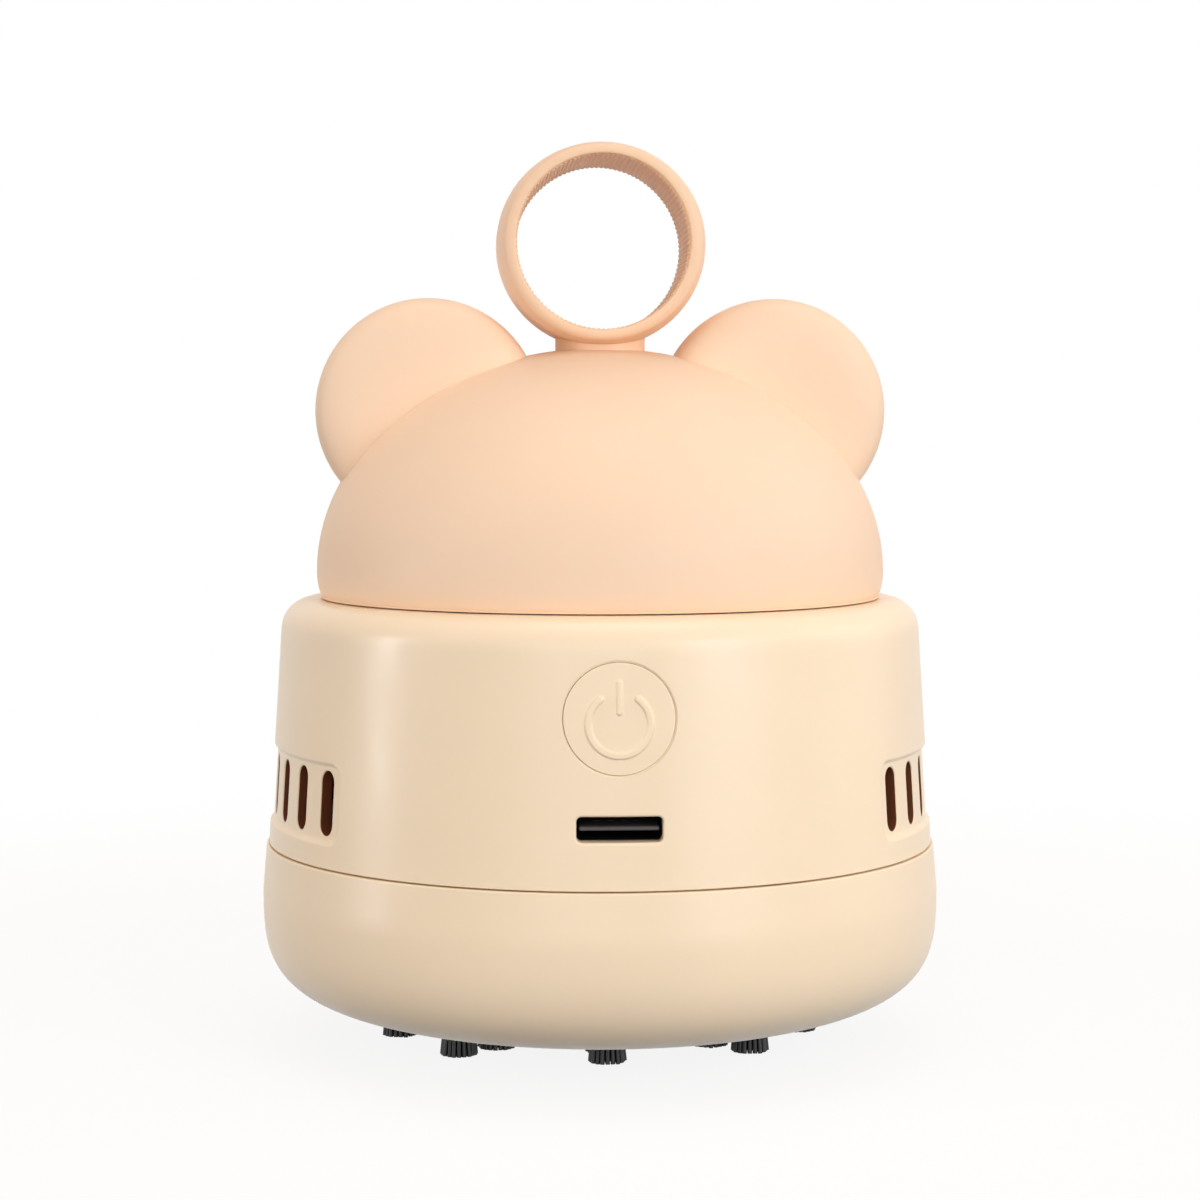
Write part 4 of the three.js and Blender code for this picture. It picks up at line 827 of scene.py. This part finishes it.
socketLow, socketHigh = nodeBox("usb_socket_shell")
socketWall = 0.5
port = {
    "z": (socketLow.z + socketHigh.z) / 2,
    "width": socketHigh.x - socketLow.x - 2 * socketWall,
    "height": socketHigh.z - socketLow.z - 2 * socketWall,
    "corner": 0.6,
    "lip": [(4, 0), (0.34, 0), (0.2, 0.03), (0.1, 0.1), (0.03, 0.19), (0, 0.3), (-0.6, 1.4)],
    "tongueWidth": 9.2,
    "tongueHeight": 0.5,
    "tongueSet": 1.75,  # how far the tongue's front lies inside the rim's radius
    "tongueCorner": 0.2,
    "tongueBevel": 0.12,
    "contacts": 4,
    "contactPitch": 1.5,
    "contactWidth": 0.7,
    "contactLength": 2.5,
    "contactBack": 4.5,
    "contactProud": 0.03,
}


def makeTongue():
    p = port
    backY = reach("usb_tongue", 1)
    frontY = p["tongueSet"] - housing["rimRadius"]
    bevel = p["tongueBevel"]
    rings = []
    for y, shrink in [(frontY, bevel), (frontY + bevel, 0), (backY, 0)]:
        shape = roundedBox(p["tongueWidth"], p["tongueHeight"], p["tongueCorner"], -shrink)
        rings.append([(x, y, p["z"] + z) for x, z in shape])
    tongue = loft("usb_tongue_plate", rings, capped=True)
    finishPiece(tongue, "housing", "dark_plastic", ["usb_tongue"], finishes["tongue"])

    values = {
        "Count": p["contacts"], "Pitch": p["contactPitch"], "Width": p["contactWidth"],
        "Length": p["contactLength"], "Height": p["tongueHeight"] + 2 * p["contactProud"],
        "Place": (0, frontY + p["contactBack"] + p["contactLength"] / 2, p["z"]),
        "Material": finishes["contacts"]}
    tree, given = newTree("contacts_in_a_row", values)
    size = vector(tree, X=given["Width"], Y=given["Length"], Z=given["Height"])
    strip = addNode(tree, "GeometryNodeMeshCube", Size=size)
    steps = fromMiddle(tree, copyIndex(tree), given["Count"])
    across = calc(tree, "MULTIPLY", steps, given["Pitch"])
    spot = vectorSum(tree, vector(tree, X=across), given["Place"])
    strips = copiesAt(tree, pointsAt(tree, given["Count"], spot), strip.outputs[0])
    endTree(tree, strips, given["Material"])
    contacts = growNodes(newObject("usb_contacts", [], []), tree, values)
    finishPiece(contacts, "housing", "bronze", material=finishes["contacts"])


# Dust cup

print("scene: dust cup")

cup = {
    "baseZ": foot("dust_cup"),
    "rimZ": reach("dust_cup", 2),
    "radius": reach("dust_cup", 0),
    "rimStep": 0.5,
    "flatRadius": 20.8,
    "curveHeight": 15.0,
    "curvePower": 3.36,
    "curveSteps": 40,
    "columns": 300,
    "step": 1.6,
    "wall": 2.35,
    "floor": 3.4,
    "ledge": 2.0,
    "inletRadius": 6.0,
    "inletWall": 1.3,
    "chimney": 4.4,
    "edge": 0.2,
    "lip": 0.5,
}
brush = {
    "plateFoot": 5.15,
    "plateHeight": 1.6,
    "outerReach": (25.94, 16.0),
    "innerReach": (19.2, 11.1),
    "margin": 2.77,
    "gap": 0.3,
    "mouthRise": 0.25,  # the recess for the plates widens below this height
    "mouthFlare": 0.8,
    "ovalSteps": 200,
    "plates": 4,
    "firstAngle": -22.5,
    "outerEnd": 0.6,  # degrees between a plate's end and its quarter's, outside and inside
    "innerEnd": 1.0,
    "plateSteps": 40,
    "plateBevel": 0.18,
    "bevelAngle": 50,
    "tufts": 8,
    "rootRadius": 1.62,
    "tipRadius": 2.12,
    "strandRadius": 0.3,
    "strandSides": 7,
    "set": 0.5,  # depth of a strand's root in its plate
    # strands in each ring of a tuft, and the ring's share of the tuft's radius
    "rings": [(20, 1.0), (14, 0.74), (8, 0.48), (4, 0.22)],
    "lean": 0.02,
    "trim": 0.012,
    "seed": 7,
    "trimSeeds": 20,  # how far the seeds for the trim lie past those for the lean
}


def oval(reachXY, grow, steps, startAngle=0.0, endAngle=360.0, close=False):
    angles = np.radians(np.linspace(startAngle, endAngle, steps, endpoint=close))
    return [((reachXY[0] + grow) * math.cos(a), (reachXY[1] + grow) * math.sin(a)) for a in angles]


def makeCup():
    c, b = cup, brush
    rimRadius = c["radius"] - c["rimStep"]
    rimTop = c["rimZ"] + housing["seam"]
    innerRadius = rimRadius - c["wall"]
    floorZ = c["baseZ"] + c["floor"]
    wideZ = c["baseZ"] + c["curveHeight"]
    seatZ = foot("filter_frame") - b["gap"]
    chimneyTop = floorZ + c["chimney"]
    chimneyRadius = c["inletRadius"] + c["inletWall"]
    outside = bendCurve(
        c["flatRadius"], c["radius"], c["baseZ"], wideZ, c["curvePower"], c["curveSteps"])
    inside = bendCurve(
        c["flatRadius"], innerRadius - c["ledge"], floorZ, seatZ, c["curvePower"], c["curveSteps"] // 2)
    mouth = rounded([
        (c["radius"], wideZ),
        (rimRadius, rimTop, c["edge"]),
        (innerRadius, rimTop, c["edge"]),
        (innerRadius, seatZ),
    ])
    inlet = rounded([
        (c["flatRadius"], floorZ),
        (chimneyRadius, floorZ, c["lip"]),
        (chimneyRadius, chimneyTop, c["lip"]),
        (c["inletRadius"], chimneyTop, c["lip"]),
        (c["inletRadius"], c["baseZ"], c["lip"]),
        (c["flatRadius"], c["baseZ"]),
    ])
    outline = refined(outside[:-1] + mouth + inside[::-1] + inlet[1:-1], c["step"], True)
    shell = lathe("dust_cup_shell", outline, c["columns"], True)

    low, mouthZ = c["baseZ"] - overrun, c["baseZ"] + b["mouthRise"]
    top = b["plateFoot"] + b["plateHeight"] + b["gap"]
    grow = b["margin"] + b["gap"]
    rings = []
    for height, reachXY, size in [
        (low, b["outerReach"], grow + b["mouthFlare"]),
        (mouthZ, b["outerReach"], grow),
        (top, b["outerReach"], grow),
        (top, b["innerReach"], -grow),
        (mouthZ, b["innerReach"], -grow),
        (low, b["innerReach"], -grow - b["mouthFlare"]),
    ]:
        rings.append([(x, y, height) for x, y in oval(reachXY, size, b["ovalSteps"])])
    combine(shell, loft("brush_recess", rings, closed=True), "DIFFERENCE")
    return finishPiece(shell, "cup", "cream_shell", ["dust_cup"])


def makeBrushPlates():
    b = brush
    plates = []
    for plate in range(b["plates"]):
        start = b["firstAngle"] + 360 / b["plates"] * plate
        end = start + 360 / b["plates"]
        shape = []
        for reachXY, grow, gap, way in [
            (b["outerReach"], b["margin"], b["outerEnd"], 1),
            (b["innerReach"], -b["margin"], b["innerEnd"], -1),
        ]:
            shape += oval(reachXY, grow, b["plateSteps"], start + gap, end - gap, True)[::way]
        heights = (b["plateFoot"], b["plateFoot"] + b["plateHeight"])
        rings = [[(x, y, height) for x, y in shape] for height in heights]
        plates.append(loft("plate", rings, capped=True))
    piece = joined("brush_plates", plates)
    bevel = piece.modifiers.new("bevel", "BEVEL")
    bevel.width = b["plateBevel"]
    bevel.segments = 2
    bevel.limit_method = "ANGLE"
    bevel.angle_limit = math.radians(b["bevelAngle"])
    bakeModifiers(piece)
    nodes = ["brush_right", "brush_back", "brush_left", "brush_front"]
    return finishPiece(piece, "cup", "bristle", nodes)


def makeTufts():
    # two ovals of round tufts; each tuft is rings of strands that splay towards their tips
    b = brush
    values = {
        "Outer Reach": (*b["outerReach"], b["plateFoot"]),
        "Inner Reach": (*b["innerReach"], b["plateFoot"]),
        "Tufts": b["tufts"], "Root Radius": b["rootRadius"], "Tip Radius": b["tipRadius"],
        "Strand Radius": b["strandRadius"], "Length": b["plateFoot"], "Set": b["set"],
        "Lean": b["lean"], "Trim": b["trim"], "Seed": b["seed"], "Material": finishes["bristle"]}
    tree, given = newTree("bristle_tufts", values)
    index = copyIndex(tree)
    whole = calc(tree, "ADD", given["Length"], given["Set"])
    rod = addNode(
        tree, "GeometryNodeMeshCylinder", Vertices=b["strandSides"],
        Radius=given["Strand Radius"], Depth=whole)
    drop = calc(tree, "SUBTRACT", given["Set"], calc(tree, "DIVIDE", whole, 2.0))
    strand = addNode(
        tree, "GeometryNodeTransform", Geometry=rod.outputs["Mesh"], Translation=vector(tree, Z=drop))

    tuft = tree.nodes.new("GeometryNodeJoinGeometry")
    splay = calc(tree, "SUBTRACT", given["Tip Radius"], given["Root Radius"])
    leanBack = calc(tree, "MULTIPLY", given["Lean"], -1.0)
    shortest = calc(tree, "SUBTRACT", 1.0, given["Trim"])
    for ring, (count, share) in enumerate(b["rings"]):
        angle = calc(tree, "MULTIPLY", index, fullTurn / count)
        radius = calc(tree, "MULTIPLY", given["Root Radius"], share)
        x, y = swung(tree, radius, radius, angle)
        slope = calc(tree, "DIVIDE", calc(tree, "MULTIPLY", splay, share), given["Length"])
        tilt = calc(tree, "MULTIPLY", calc(tree, "ARCTANGENT", slope), -1.0)
        leanSeed = calc(tree, "ADD", given["Seed"], float(ring))
        lean = randomBetween(tree, leanBack, given["Lean"], leanSeed)
        trimSeed = calc(tree, "ADD", given["Seed"], float(ring + b["trimSeeds"]))
        cut = randomBetween(tree, shortest, 1.0, trimSeed)
        strands = copiesAt(
            tree, pointsAt(tree, count, vector(tree, X=x, Y=y)), strand.outputs[0],
            Rotation=vector(tree, Y=calc(tree, "ADD", tilt, lean), Z=angle),
            Scale=vector(tree, X=1.0, Y=1.0, Z=cut))
        tree.links.new(strands, tuft.inputs[0])

    places = tree.nodes.new("GeometryNodeJoinGeometry")
    for label in ["Outer Reach", "Inner Reach"]:
        span = addNode(tree, "ShaderNodeSeparateXYZ", Vector=given[label]).outputs
        x, y = swung(tree, span[0], span[1], evenTurn(tree, given["Tufts"]))
        spots = pointsAt(tree, given["Tufts"], vector(tree, X=x, Y=y, Z=span[2]))
        tree.links.new(spots, places.inputs[0])
    twist = vector(tree, Z=randomBetween(tree, 0.0, fullTurn, given["Seed"]))
    tufts = copiesAt(tree, places.outputs[0], tuft.outputs[0], Rotation=twist)
    endTree(tree, tufts, given["Material"])
    piece = growNodes(newObject("bristle_tufts", [], []), tree, values)
    return finishPiece(piece, "cup", "bristle", sharpAngle=70)


# Filter, fan cover and seal, which show when the cup is pulled down

print("scene: filter and fan cover")

filterLook = {
    "edge": 0.25,
    "lip": 1.6,
    "lipHeight": 0.8,
    "padCrown": 0.35,
    "crownPower": 4,
    "crownShare": 0.98,  # of the pad's radius, up to which its crown is drawn
    "crownSteps": 24,
    "arcSteps": 4,
    "step": 3.0,
    "columns": 240,
    "padColumns": 200,
}
cover = {
    "radius": reach("fan_cover", 0),
    "footZ": foot("fan_cover"),
    "topZ": reach("fan_cover", 2),
    "thickness": 1.6,
    "collarWall": 2.4,
    "grooveHalf": 1.3,
    "grooveDepth": 1.2,
    "grilleRadius": 11.5,
    "hubRadius": 3.5,
    "slots": 6,
    "slotHalfAngle": 22,
    "hubHalfAngle": 17,
    "slotSteps": 16,
    "edge": 0.25,
    "innerCorner": 0.6,
    "collarCorner": 0.4,
    "step": 3.0,
    "columns": 240,
    "sealSides": 24,
}


def makeFilter():
    f = filterLook
    low, high = nodeBox("filter_frame")
    padLow, padHigh = nodeBox("filter_pad")
    edge = f["edge"]
    seat = padHigh.x + brush["gap"]
    lipTop = low.z + f["lipHeight"]
    outline = rounded([
        (seat - f["lip"], low.z, edge),
        (high.x, low.z, edge),
        (high.x, high.z, edge),
        (seat, high.z, edge),
        (seat, lipTop),
        (seat - f["lip"], lipTop, edge),
    ], f["arcSteps"])
    frameRing = lathe("filter_frame_ring", refined(outline, f["step"], True), f["columns"], True)
    finishPiece(frameRing, "cup", "dark_plastic", ["filter_frame"])

    top = []
    for share in np.linspace(0, f["crownShare"], f["crownSteps"]):
        top.append((padHigh.x * share, padHigh.z - f["padCrown"] * share ** f["crownPower"]))
    rim = rounded([
        (padHigh.x, padHigh.z - f["padCrown"]),
        (padHigh.x, padLow.z, edge),
        (0, padLow.z),
    ], f["arcSteps"])
    pad = lathe("filter_pad_felt", top + [tuple(point) for point in rim], f["padColumns"])
    finishPiece(pad, "cup", "felt", ["filter_pad"])


def makeFanCover():
    c = cover
    sealLow, sealHigh = nodeBox("seal_ring")
    sealZ = (sealLow.z + sealHigh.z) / 2
    sealRadius = (sealHigh.z - sealLow.z) / 2
    sealMiddle = sealHigh.x - sealRadius
    groove = sealMiddle - sealRadius - brush["gap"]
    collar = groove + c["grooveDepth"]
    inner = collar - c["collarWall"]
    plateZ = c["topZ"] - c["thickness"]
    edge = c["edge"]
    outline = rounded([
        (0, plateZ),
        (inner, plateZ, c["innerCorner"]),
        (inner, c["footZ"], edge),
        (collar, c["footZ"], edge),
        (collar, sealZ - c["grooveHalf"], edge),
        (groove, sealZ - c["grooveHalf"]),
        (groove, sealZ + c["grooveHalf"]),
        (collar, sealZ + c["grooveHalf"], edge),
        (collar, plateZ, c["collarCorner"]),
        (c["radius"], plateZ, edge),
        (c["radius"], c["topZ"], edge),
        (0, c["topZ"]),
    ])
    piece = lathe("fan_cover_moulding", refined(outline, c["step"]), c["columns"])
    low, high = plateZ - overrun, c["topZ"] + overrun
    wide, narrow = c["slotHalfAngle"], c["hubHalfAngle"]
    shape = arcPoints(c["grilleRadius"], -wide, wide, c["slotSteps"])
    shape += arcPoints(c["hubRadius"], narrow, -narrow, c["slotSteps"] // 2)
    slot = loft("slot", [[(x, y, low) for x, y in shape], [(x, y, high) for x, y in shape]], capped=True)
    combine(piece, copiesEven(slot, c["slots"]), "DIFFERENCE")
    hole = pin(housing["pilotRadius"], 0, housing["postCircle"], low, high)
    combine(piece, copiesEven(hole, housing["posts"]), "DIFFERENCE")
    finishPiece(piece, "housing", "inner_plastic", ["fan_cover"])

    section = [Vector((sealMiddle + x, sealZ + z)) for x, z in circlePoints(sealRadius, c["sealSides"])]
    seal = lathe("seal_ring_section", section, c["columns"], True)
    finishPiece(seal, "housing", "seal_rubber", ["seal_ring"])


# Dome cap and ears

print("scene: dome cap, ears and finger ring")

dome = {
    "radius": reach("dome_cap", 0),
    "baseZ": foot("dome_cap") - 2 * housing["seam"],
    "footStep": 1.05,
    "footHeight": 3.1 + 2 * housing["seam"],
    "height": 28.5,
    "wall": 2.0,
    "edge": 0.3,
    "seatRadius": 6.0,
    "seatDepth": 0.8,
    "spigotHole": 3.5,
    "crownRadius": 7.0,
    "crownDepth": 2.0,
    "seatCorner": 0.06,
    "arcSteps": 3,
    "outerSteps": 64,
    "innerSteps": 40,
    "step": 1.2,
    "columns": 260,
}
ear = {
    "radius": 14.35,
    "thickness": 15.5,
    "power": 4.6,
    "sunk": 0.05,
    "bendSteps": 56,
    "capSteps": 90,
    "columns": 240,
}


def domeOutline(grow, steps, stopRadius=0.0):
    # from the foot, round its bend, and up the cap
    d = dome
    wideZ = d["baseZ"] + d["footHeight"]
    points = []
    for step in range(steps // 4 + 1):
        angle = step / (steps // 4) * math.pi / 2
        points.append(Vector((
            d["radius"] - d["footStep"] + grow + d["footStep"] * math.sin(angle),
            wideZ - d["footHeight"] * math.cos(angle))))
    last = math.acos(stopRadius / (d["radius"] + grow))
    for step in range(1, steps + 1):
        angle = step / steps * last
        points.append(Vector((
            (d["radius"] + grow) * math.cos(angle), wideZ + (d["height"] + grow) * math.sin(angle))))
    return points


def makeDome():
    d = dome
    topZ = d["baseZ"] + d["footHeight"] + d["height"]
    crownZ = topZ - d["wall"] - d["crownDepth"]
    outer = domeOutline(0, d["outerSteps"], d["seatRadius"])
    inner = domeOutline(-d["wall"], d["innerSteps"], d["crownRadius"])
    seatZ = topZ - d["seatDepth"]
    middle = rounded([
        (outer[-2].x, outer[-2].y),
        (outer[-1].x, outer[-1].y, d["seatCorner"]),
        (d["seatRadius"], seatZ),
        (d["spigotHole"], seatZ),
        (d["spigotHole"], crownZ),
        (d["crownRadius"], crownZ),
        (inner[-1].x, inner[-1].y),
    ], d["arcSteps"])
    footEdge = rounded([
        (inner[1].x, inner[1].y),
        (inner[0].x, inner[0].y, d["edge"]),
        (outer[0].x, outer[0].y, d["edge"]),
        (outer[2].x, outer[2].y),
    ])
    outline = outer[3:-2] + middle + inner[1:-1][::-1] + footEdge[1:]
    shell = lathe("dome_cap_shell", refined(outline, d["step"], True), d["columns"], True)
    return finishPiece(shell, "housing", "peach_shell", ["dome_cap"])


def makeEar(side, name, node):
    e = ear
    low, high = nodeBox(node)
    outerX = high.x if side > 0 else -low.x
    centreX, centreZ = outerX - e["radius"], high.z - e["radius"]
    half = e["thickness"] / 2
    front = bendCurve(0, e["radius"], -half, 0, e["power"], e["bendSteps"])
    outline = front + [Vector((point.x, -point.y)) for point in front[:-1][::-1]]
    disc = place(lathe("disc", outline, e["columns"]), turn=(-90, "X"), move=(side * centreX, 0, centreZ))
    disc.name = name
    cap = domeOutline(-e["sunk"], e["capSteps"])
    cap = lathe("cap", [(0, dome["baseZ"])] + [tuple(point) for point in cap], dome["columns"])
    combine(disc, cap, "DIFFERENCE")
    return finishPiece(disc, "housing", "peach_shell", [node])


# Finger ring on its neck, with fine ribs in the bore

ringLow, ringHigh = nodeBox("finger_ring")
ring = {
    "outer": (ringHigh.x - ringLow.x) / 2,
    "depth": ringHigh.y - ringLow.y,
    "bore": 10.9,
    "band": 1.45,
    "boreEdge": 0.35,
    "outerEdge": 1.15,
    "sideShare": 0.45,  # where the flare of the side ends, of half the depth
    "sideBend": 24.0,
    "neckRadius": 5.75,
    "neckGap": 0.1,  # over the seat in the dome
    "neckSet": 0.8,  # how far below the bore the neck ends
    "neckColumns": 120,
    "arcSteps": 8,
    "step": 1.0,
    "columns": 320,
    "ribs": 112,
    "ribRadius": 0.3,
    "ribSet": 0.18,  # how deep the ribs are set into the bore
    "ribSides": 12,
    "ribEnd": 0.5,
    "squat": 0.35,  # how much thinner the band is at its top and foot
    # painted shade in the bore: a deeper, warmer colour
    "boreShadeColour": (250, 207, 160),
    "boreShadeFrom": 0.0,  # the painted shade in the bore fades out between these depths in the band
    "boreShadeTo": 0.12,
}


def ringSquat(radius, _, angles):
    share = (radius - ring["bore"]) / (ring["outer"] - ring["bore"])
    return ring["squat"] * share * np.sin(angles) ** 2


def makeRing():
    r = ring
    centreZ = ringHigh.z - r["outer"]
    half = r["depth"] / 2
    lowerHalf = rounded([
        (r["bore"], 0),
        (r["bore"], -half, r["boreEdge"]),
        (r["bore"] + r["band"], -half, r["outerEdge"]),
        (r["outer"], -half * r["sideShare"], r["sideBend"]),
        (r["outer"], 0),
    ], r["arcSteps"])
    outline = lowerHalf + [Vector((p.x, -p.y)) for p in lowerHalf[1:-1][::-1]]
    outline = refined(outline, r["step"], True)
    band = lathe("finger_ring_band", outline, r["columns"], True, ringSquat)
    place(band, turn=(-90, "X"), move=(0, 0, centreZ))
    neckLow = dome["baseZ"] + dome["footHeight"] + dome["height"] - dome["seatDepth"] + r["neckGap"]
    neckTop = centreZ - r["bore"] - r["neckSet"]
    neck = pin(r["neckRadius"], 0, 0, neckLow, neckTop, r["neckColumns"])
    combine(band, neck, "UNION")

    values = {
        "Count": r["ribs"], "Bore": r["bore"] + r["ribSet"], "Rib Radius": r["ribRadius"],
        "Length": r["depth"] - 2 * r["ribEnd"], "Middle": (0, 0, centreZ),
        "Material": finishes["ring_shell"]}
    tree, given = newTree("ribs_in_a_bore", values)
    rod = addNode(
        tree, "GeometryNodeMeshCylinder", Vertices=r["ribSides"],
        Radius=given["Rib Radius"], Depth=given["Length"])
    along = addNode(tree, "GeometryNodeTransform", Geometry=rod.outputs["Mesh"],
                    Rotation=(math.pi / 2, 0, 0))
    x, z = swung(tree, given["Bore"], given["Bore"], evenTurn(tree, given["Count"]))
    spot = vectorSum(tree, vector(tree, X=x, Z=z), given["Middle"])
    ribs = copiesAt(tree, pointsAt(tree, given["Count"], spot), along.outputs[0])
    both = tree.nodes.new("GeometryNodeJoinGeometry")
    tree.links.new(given["Geometry"], both.inputs[0])
    tree.links.new(ribs, both.inputs[0])
    growNodes(band, endTree(tree, both.outputs[0], given["Material"]), values)
    # the bore gets painted shade, a deeper and warmer copy of the ring's colour
    boreShaded = paintBoreShade(makeFinish("ring_shell_bore_shade", looks["ring_shell"]), centreZ)
    return finishPiece(band, "housing", "ring_shell", ["finger_ring"], boreShaded, sharpAngle=50)


def paintBoreShade(material, centreZ):
    # light that bounces about in the bore makes its plastic look deeper and warmer
    r = ring
    tree = material.node_tree
    x, _, z = objectPlace(tree)
    fromAxis = apart(tree, x, calc(tree, "SUBTRACT", z, centreZ / perMetre))
    start, end = (r["bore"] + r["boreShadeFrom"]) / perMetre, (r["bore"] + r["boreShadeTo"]) / perMetre
    return toned(material, ranged(tree, fromAxis, 1.0, 0.0, start, end), r["boreShadeColour"])


finishes["tongue"] = makeFinish("tongue", {"colour": (70, 68, 70), "rough": 0.45, "drift": 0.06})
# painted shade: the contacts get a darker, dimmed copy of the bronze finish, as they lie in the port's
# shade
finishes["contacts"] = makeFinish("contacts", {"colour": (92, 80, 62), "rough": 0.5, "metal": 0.6})
cutHousing(makeHousing())
makeButton()
makeTongue()
makeCup()
makeBrushPlates()
makeTufts()
makeFilter()
makeFanCover()
makeDome()
makeEar(-1, "ear_left_disc", "ear_left")
makeEar(1, "ear_right_disc", "ear_right")
makeRing()

# Floor, light and camera

print("scene: floor, light and camera")

stage = {
    "floorZ": -0.00012,
    "floorHalf": 4.0,
    "bounce": 0.12,  # how light the floor is for the object's own shading
    "seenGlow": 0.88,
    "seenTone": 0.13,
    "fadeFrom": 0.10,  # past this distance the floor turns into the background
    "fadeTo": 0.24,
    "skyTint": (255, 226, 201),
    "skyStrength": 0.42,
}
lamps = {
    # place, aim, width, height, power, tint
    "key": ((0.55, -0.70, 0.26), (0.0, 0.0, 0.06), 0.5, 0.6, 4.5, (247, 250, 255)),
    "front": ((-0.18, -1.12, 0.20), (0.0, 0.0, 0.06), 0.8, 0.6, 3.9, (255, 252, 249)),
    "left_strip": ((-0.64, -0.10, 0.09), (0.0, 0.0, 0.04), 0.05, 0.36, 1.5, (247, 250, 255)),
    "top": ((0.05, 0.0, 0.85), (0.0, 0.0, 0.06), 0.5, 0.5, 1.4, (255, 249, 244)),
    "right_fill": ((0.75, 0.05, 0.2), (0.0, 0.0, 0.05), 0.5, 0.6, 1.3, (255, 247, 240)),
}
camera = {
    "place": (-0.0181, -0.3349, 0.0783),
    "aim": (0.0, 0.0, 0.0565),
    "lens": 78.0,
    "sensor": 36.0,
    "nearest": 0.01,
}


def seenRay(tree):
    # 1 where the camera, a reflection or a transmission looks
    path = addNode(tree, "ShaderNodeLightPath").outputs
    seen = calc(tree, "MAXIMUM", path["Is Camera Ray"], path["Is Glossy Ray"])
    return calc(tree, "MAXIMUM", seen, path["Is Transmission Ray"])


def mixShader(tree, factor, first, second):
    node = tree.nodes.new("ShaderNodeMixShader")
    tree.links.new(factor, node.inputs[0])
    tree.links.new(first, node.inputs[1])
    tree.links.new(second, node.inputs[2])
    return node.outputs[0]


def makeFloor():
    s = stage
    half = s["floorHalf"]
    corners = [(-half, -half, s["floorZ"]), (half, -half, s["floorZ"]),
               (half, half, s["floorZ"]), (-half, half, s["floorZ"])]
    floor = newObject("floor", corners, [(0, 1, 2, 3)])
    material = bpy.data.materials.new("floor")
    material.use_nodes = True
    tree = material.node_tree
    tree.nodes.clear()
    distance = addNode(tree, "ShaderNodeVectorMath", {"operation": "LENGTH"}, Vector=objectCoords(tree))
    fade = ranged(tree, distance.outputs["Value"], 0.0, 1.0, s["fadeFrom"], s["fadeTo"])
    glow = addNode(tree, "ShaderNodeEmission", Color=white, Strength=s["seenGlow"])
    tone = addNode(tree, "ShaderNodeBsdfDiffuse", Color=(s["seenTone"],) * 3 + (1.0,))
    near = tree.nodes.new("ShaderNodeAddShader")
    tree.links.new(glow.outputs[0], near.inputs[0])
    tree.links.new(tone.outputs[0], near.inputs[1])
    far = addNode(tree, "ShaderNodeEmission", Color=white, Strength=1.0)
    shown = mixShader(tree, fade, near.outputs[0], far.outputs[0])
    plain = addNode(tree, "ShaderNodeBsdfDiffuse", Color=(s["bounce"],) * 3 + (1.0,))
    lit = mixShader(tree, seenRay(tree), plain.outputs[0], shown)
    clear = addNode(tree, "ShaderNodeBsdfTransparent")
    back = addNode(tree, "ShaderNodeNewGeometry").outputs["Backfacing"]
    out = tree.nodes.new("ShaderNodeOutputMaterial")
    tree.links.new(mixShader(tree, back, lit, clear.outputs[0]), out.inputs[0])
    floor.data.materials.append(material)


def makeWorld():
    world = bpy.data.worlds.new("studio")
    bpy.context.scene.world = world
    world.use_nodes = True
    tree = world.node_tree
    tree.nodes.clear()
    tint = linear(stage["skyTint"]) + [1.0]
    soft = addNode(tree, "ShaderNodeBackground", Color=tint, Strength=stage["skyStrength"])
    plain = addNode(tree, "ShaderNodeBackground", Color=white, Strength=1.0)
    out = tree.nodes.new("ShaderNodeOutputWorld")
    tree.links.new(mixShader(tree, seenRay(tree), soft.outputs[0], plain.outputs[0]), out.inputs[0])


def makeLamp(name, spot, aim, width, height, power, tint):
    data = bpy.data.lights.new(name, "AREA")
    data.shape = "RECTANGLE"
    data.size = width
    data.size_y = height
    data.energy = power
    data.color = linear(tint)
    lamp = bpy.data.objects.new(name, data)
    bpy.context.scene.collection.objects.link(lamp)
    lamp.location = spot
    lamp.rotation_euler = (Vector(aim) - Vector(spot)).to_track_quat("-Z", "Y").to_euler()


def makeCamera():
    data = bpy.data.cameras.new("camera")
    data.lens = camera["lens"]
    data.sensor_width = camera["sensor"]
    data.clip_start = camera["nearest"]
    obj = bpy.data.objects.new("camera", data)
    bpy.context.scene.collection.objects.link(obj)
    obj.location = camera["place"]
    way = Vector(camera["aim"]) - Vector(camera["place"])
    obj.rotation_euler = way.to_track_quat("-Z", "Y").to_euler()
    bpy.context.scene.camera = obj


makeFloor()
makeWorld()
for name, (spot, aim, width, height, power, tint) in lamps.items():
    makeLamp(name, spot, aim, width, height, power, tint)
makeCamera()
bpy.context.scene.view_settings.view_transform = "Standard"
